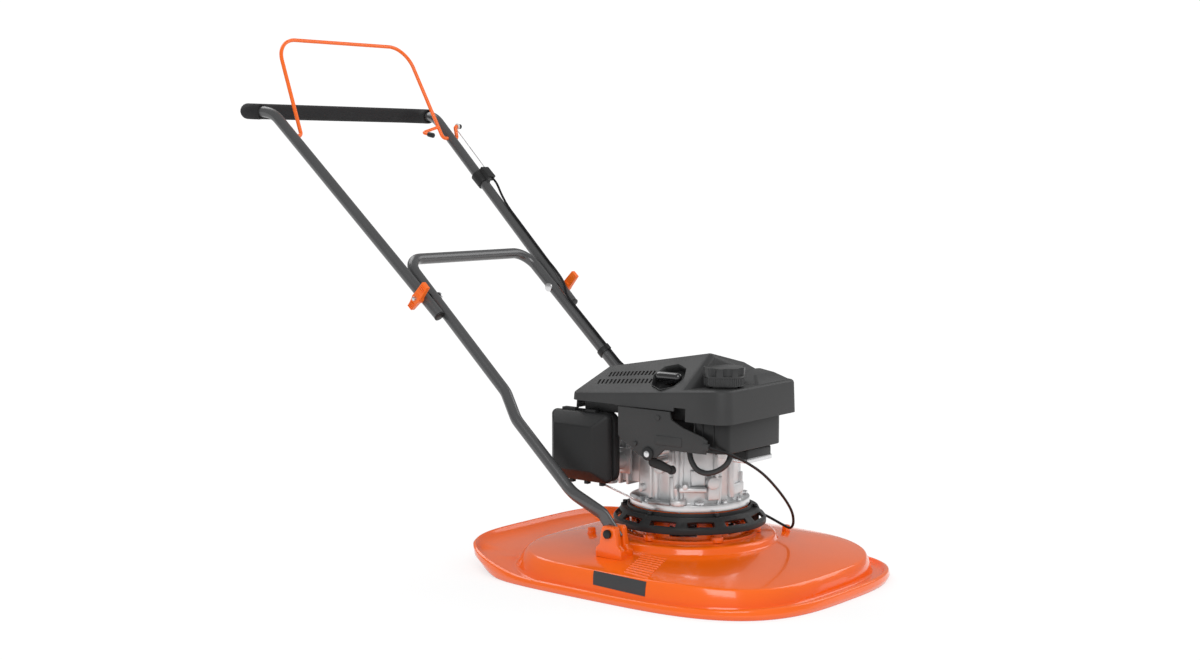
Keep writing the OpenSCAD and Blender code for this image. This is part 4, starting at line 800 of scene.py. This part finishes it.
tube_grey = moulded("tube_grey", (0.085, 0.086, 0.088), 0.26, 1200, 0.00002, mottle=0.05, metal=0.3,
    coat=0.3)
lever_orange = moulded("lever_orange", (0.90, 0.150, 0.010), 0.30, 600, 0.00004, mottle=0.04)
tube_r = 0.011
handle_slope = radians(42.3)
fold_y, fold_z = 0.490, 0.505


def up_handle(x, run):
    return from_crank(x, fold_y + run * cos(handle_slope), fold_z + run * sin(handle_slope))


leg_x, leg_top_x = 0.195, 0.178
leg_low = from_crank(leg_x, 0.052, 0.136)
leg_way = (leg_low - pivot).normalized()
leg_across = Vector((0, leg_way.z, -leg_way.y))
leg_past = 0.0138
leg = [pivot - leg_way * leg_past, leg_low, from_crank(leg_x, 0.125, 0.166),
    from_crank(leg_x, 0.260, 0.287), up_handle(leg_top_x, -0.255), up_handle(leg_top_x, 0.104)]
leg_bends = (0.028, 0.080, 0.060, 0.060, 0.040, 0.040, 0.060, 0.060, 0.080, 0.028)
lower_tube = drawn_round("handle_lower_tube", bent(mirrored(leg), leg_bends), tube_r, 10)
flat_share, flat_wide = 0.27, 1.26
flat_from, flat_to = 0.122, 0.162
flat_reach = 0.12
for vert in lower_tube.data.vertices:
    if vert.co.z < flat_to and abs(vert.co.y - pivot.y) < flat_reach:
        t = min(max((flat_to - vert.co.z) / (flat_to - flat_from), 0), 1)
        pressed = t * t * (3 - 2 * t)
        side = pivot.x if vert.co.x > 0 else -pivot.x
        spread = (vert.co - pivot).dot(leg_across)
        vert.co.x = side + (vert.co.x - side) * (1 + (flat_share - 1) * pressed)
        vert.co += leg_across * spread * (flat_wide - 1) * pressed
fitted(lower_tube, tube_grey, "lower_handle")

upper_run = 0.541
upper_foot = up_handle(0.200, -0.051)
upper_top = up_handle(0.236, upper_run)
bar_end = up_handle(0.262, upper_run) + Vector((0, 0.088, 0.004))
upper_bends = (0.060, 0.040, 0.040, 0.060)
upper_line = bent(mirrored([upper_foot, upper_top, bar_end]), upper_bends)
upper_tube = drawn_round("handle_upper_tube", upper_line, tube_r, 10)
fitted(upper_tube, tube_grey, "upper_handle")
tail_way = (upper_foot - upper_top).normalized()
plug_r = tube_r + 0.0004
plugs = []
for side in (-1, 1):
    tail = Vector((side * upper_foot.x, upper_foot.y, upper_foot.z))
    way = Vector((side * tail_way.x, tail_way.y, tail_way.z))
    plugs.append(turned(f"tail_plug_{side + 2}", plug_r, 0.004, tail - way * 0.001, way, 32, 0.0012))
fitted(joined(*plugs), ring_black, "upper_handle", stands_for=False)
from_solid("fold_bolts", "fold_bolt_set", bright_steel)
from_solid("fold_washers", "fold_washer_set", ring_black, 0.0003)
lever_way = Vector((0, -sin(handle_slope), cos(handle_slope)))
ridge_way = Vector((0, lever_way.z, -lever_way.y))
ridge_r, ridge_l = 0.0011, 0.0125
lever_runs = (-0.024, -0.0205, -0.017, -0.0135, 0.022, 0.026, 0.030)
for hand, side in hands:
    name = f"fold_lever_{hand}"
    lever = eased(copy_of(f"lever_nut_{hand}", name), 0.0022, segments=4)
    outside = max(side * vert.co.x for vert in lever.data.vertices) * side
    middle = from_crank(outside, fold_y, fold_z)
    ridge_spots = [middle + lever_way * run for run in lever_runs]
    ridges = [turned(f"{name}_ridge_{i + 1}", ridge_r, ridge_l, spot, ridge_way, 12, 0.0003)
        for i, spot in enumerate(ridge_spots)]
    fitted(joined(lever, *ridges), lever_orange, f"lever_nut_{hand}")

# Foam grip: a soft black sleeve of closed foam, stretched over the level bar and a little way
# round both bends. It is held by its own grip on the tube.
foam_black = moulded("foam_black", (0.012, 0.012, 0.013), 0.86, 700, 0.0004, mottle=0.2, patch=60)
grip = fitted(rounded(copy_of("grip_sleeve", "foam_grip"), 1), foam_black, "grip_sleeve")

# Bail: a bent steel rod with an orange coat that the user holds against the grip. Its ends turn in the
# tubes, with black caps on the cut ends and a white collar where the brake wire hooks on.
bail_orange = moulded("bail_orange", (0.92, 0.145, 0.008), 0.26, 500, 0.00003, mottle=0.03)
collar_white = moulded("collar_white", (0.75, 0.74, 0.71), 0.40, 800, 0.00004, mottle=0.04)
bail_r = 0.004
hook_r = 0.0035
bail_l = 0.224
bail_half = 0.186
bail_lean = radians(64.5)
bail_eye = up_handle(0.2316, 0.468)
bail_base = bail_eye - Vector((0.025, 0, 0))
bail_top = Vector((bail_half, bail_eye.y + bail_l * cos(bail_lean), bail_eye.z + bail_l * sin(bail_lean)))
arm_foot = bail_eye + Vector((0.020, 0, 0))
arm_top = arm_foot + Vector((0, 0.006, 0.027))
arm_end = arm_top + Vector((0.014, 0, 0))
bail_route = [Vector((-p.x, p.y, p.z)) for p in (bail_eye, bail_base, bail_top)]
bail_route += [bail_top, bail_base, arm_foot, arm_top, arm_end]
bail_bends = (0.010, 0.055, 0.055, 0.010, 0.005, 0.005)
bail_rod = drawn_round("bail_rod", bent(bail_route, bail_bends), bail_r, 8)
hook_bend = Vector((0.157, bail_eye.y + 0.014, bail_eye.z + 0.012))
hook_root = bail_base + (bail_top - bail_base).normalized() * 0.028
hook_tip = hook_bend + Vector((0, -0.030, -0.006))
hook_line = bent([hook_root, hook_bend, hook_tip], (0.008,))
bail_hook = drawn_round("bail_hook", hook_line, hook_r, 8)
fitted(joined(bail_rod, bail_hook), bail_orange, "bail")
from_solid("bail_caps", "bail_end_caps", ring_black, 0.001)
from_solid("bail_collar", "bail_wire_collar", collar_white, 0.0006)

# Brake cable on the handle: a bare wire from the bail to a black bracket, then a sheath along the left
# tube, with a loose turn at the fold and a clip above the bend.
from_solid("cable_bracket", "cable_stop", ring_black, 0.0012)
from_solid("cable_clip", "cable_tie_clip", ring_black, 0.0008)
bail_wire = eased(copy_of("inner_wire", "bail_wire"), 0)
reaching(bail_wire, bright_steel, "inner_wire")
for node in ("cable_upper", "cable_lower"):
    from_solid(node, "sheath_" + node, cable_black, 0)
fold_turn = eased(copy_of("cable_fold", "sheath_cable_fold"), 0)
reaching(fold_turn, cable_black, "cable_fold")
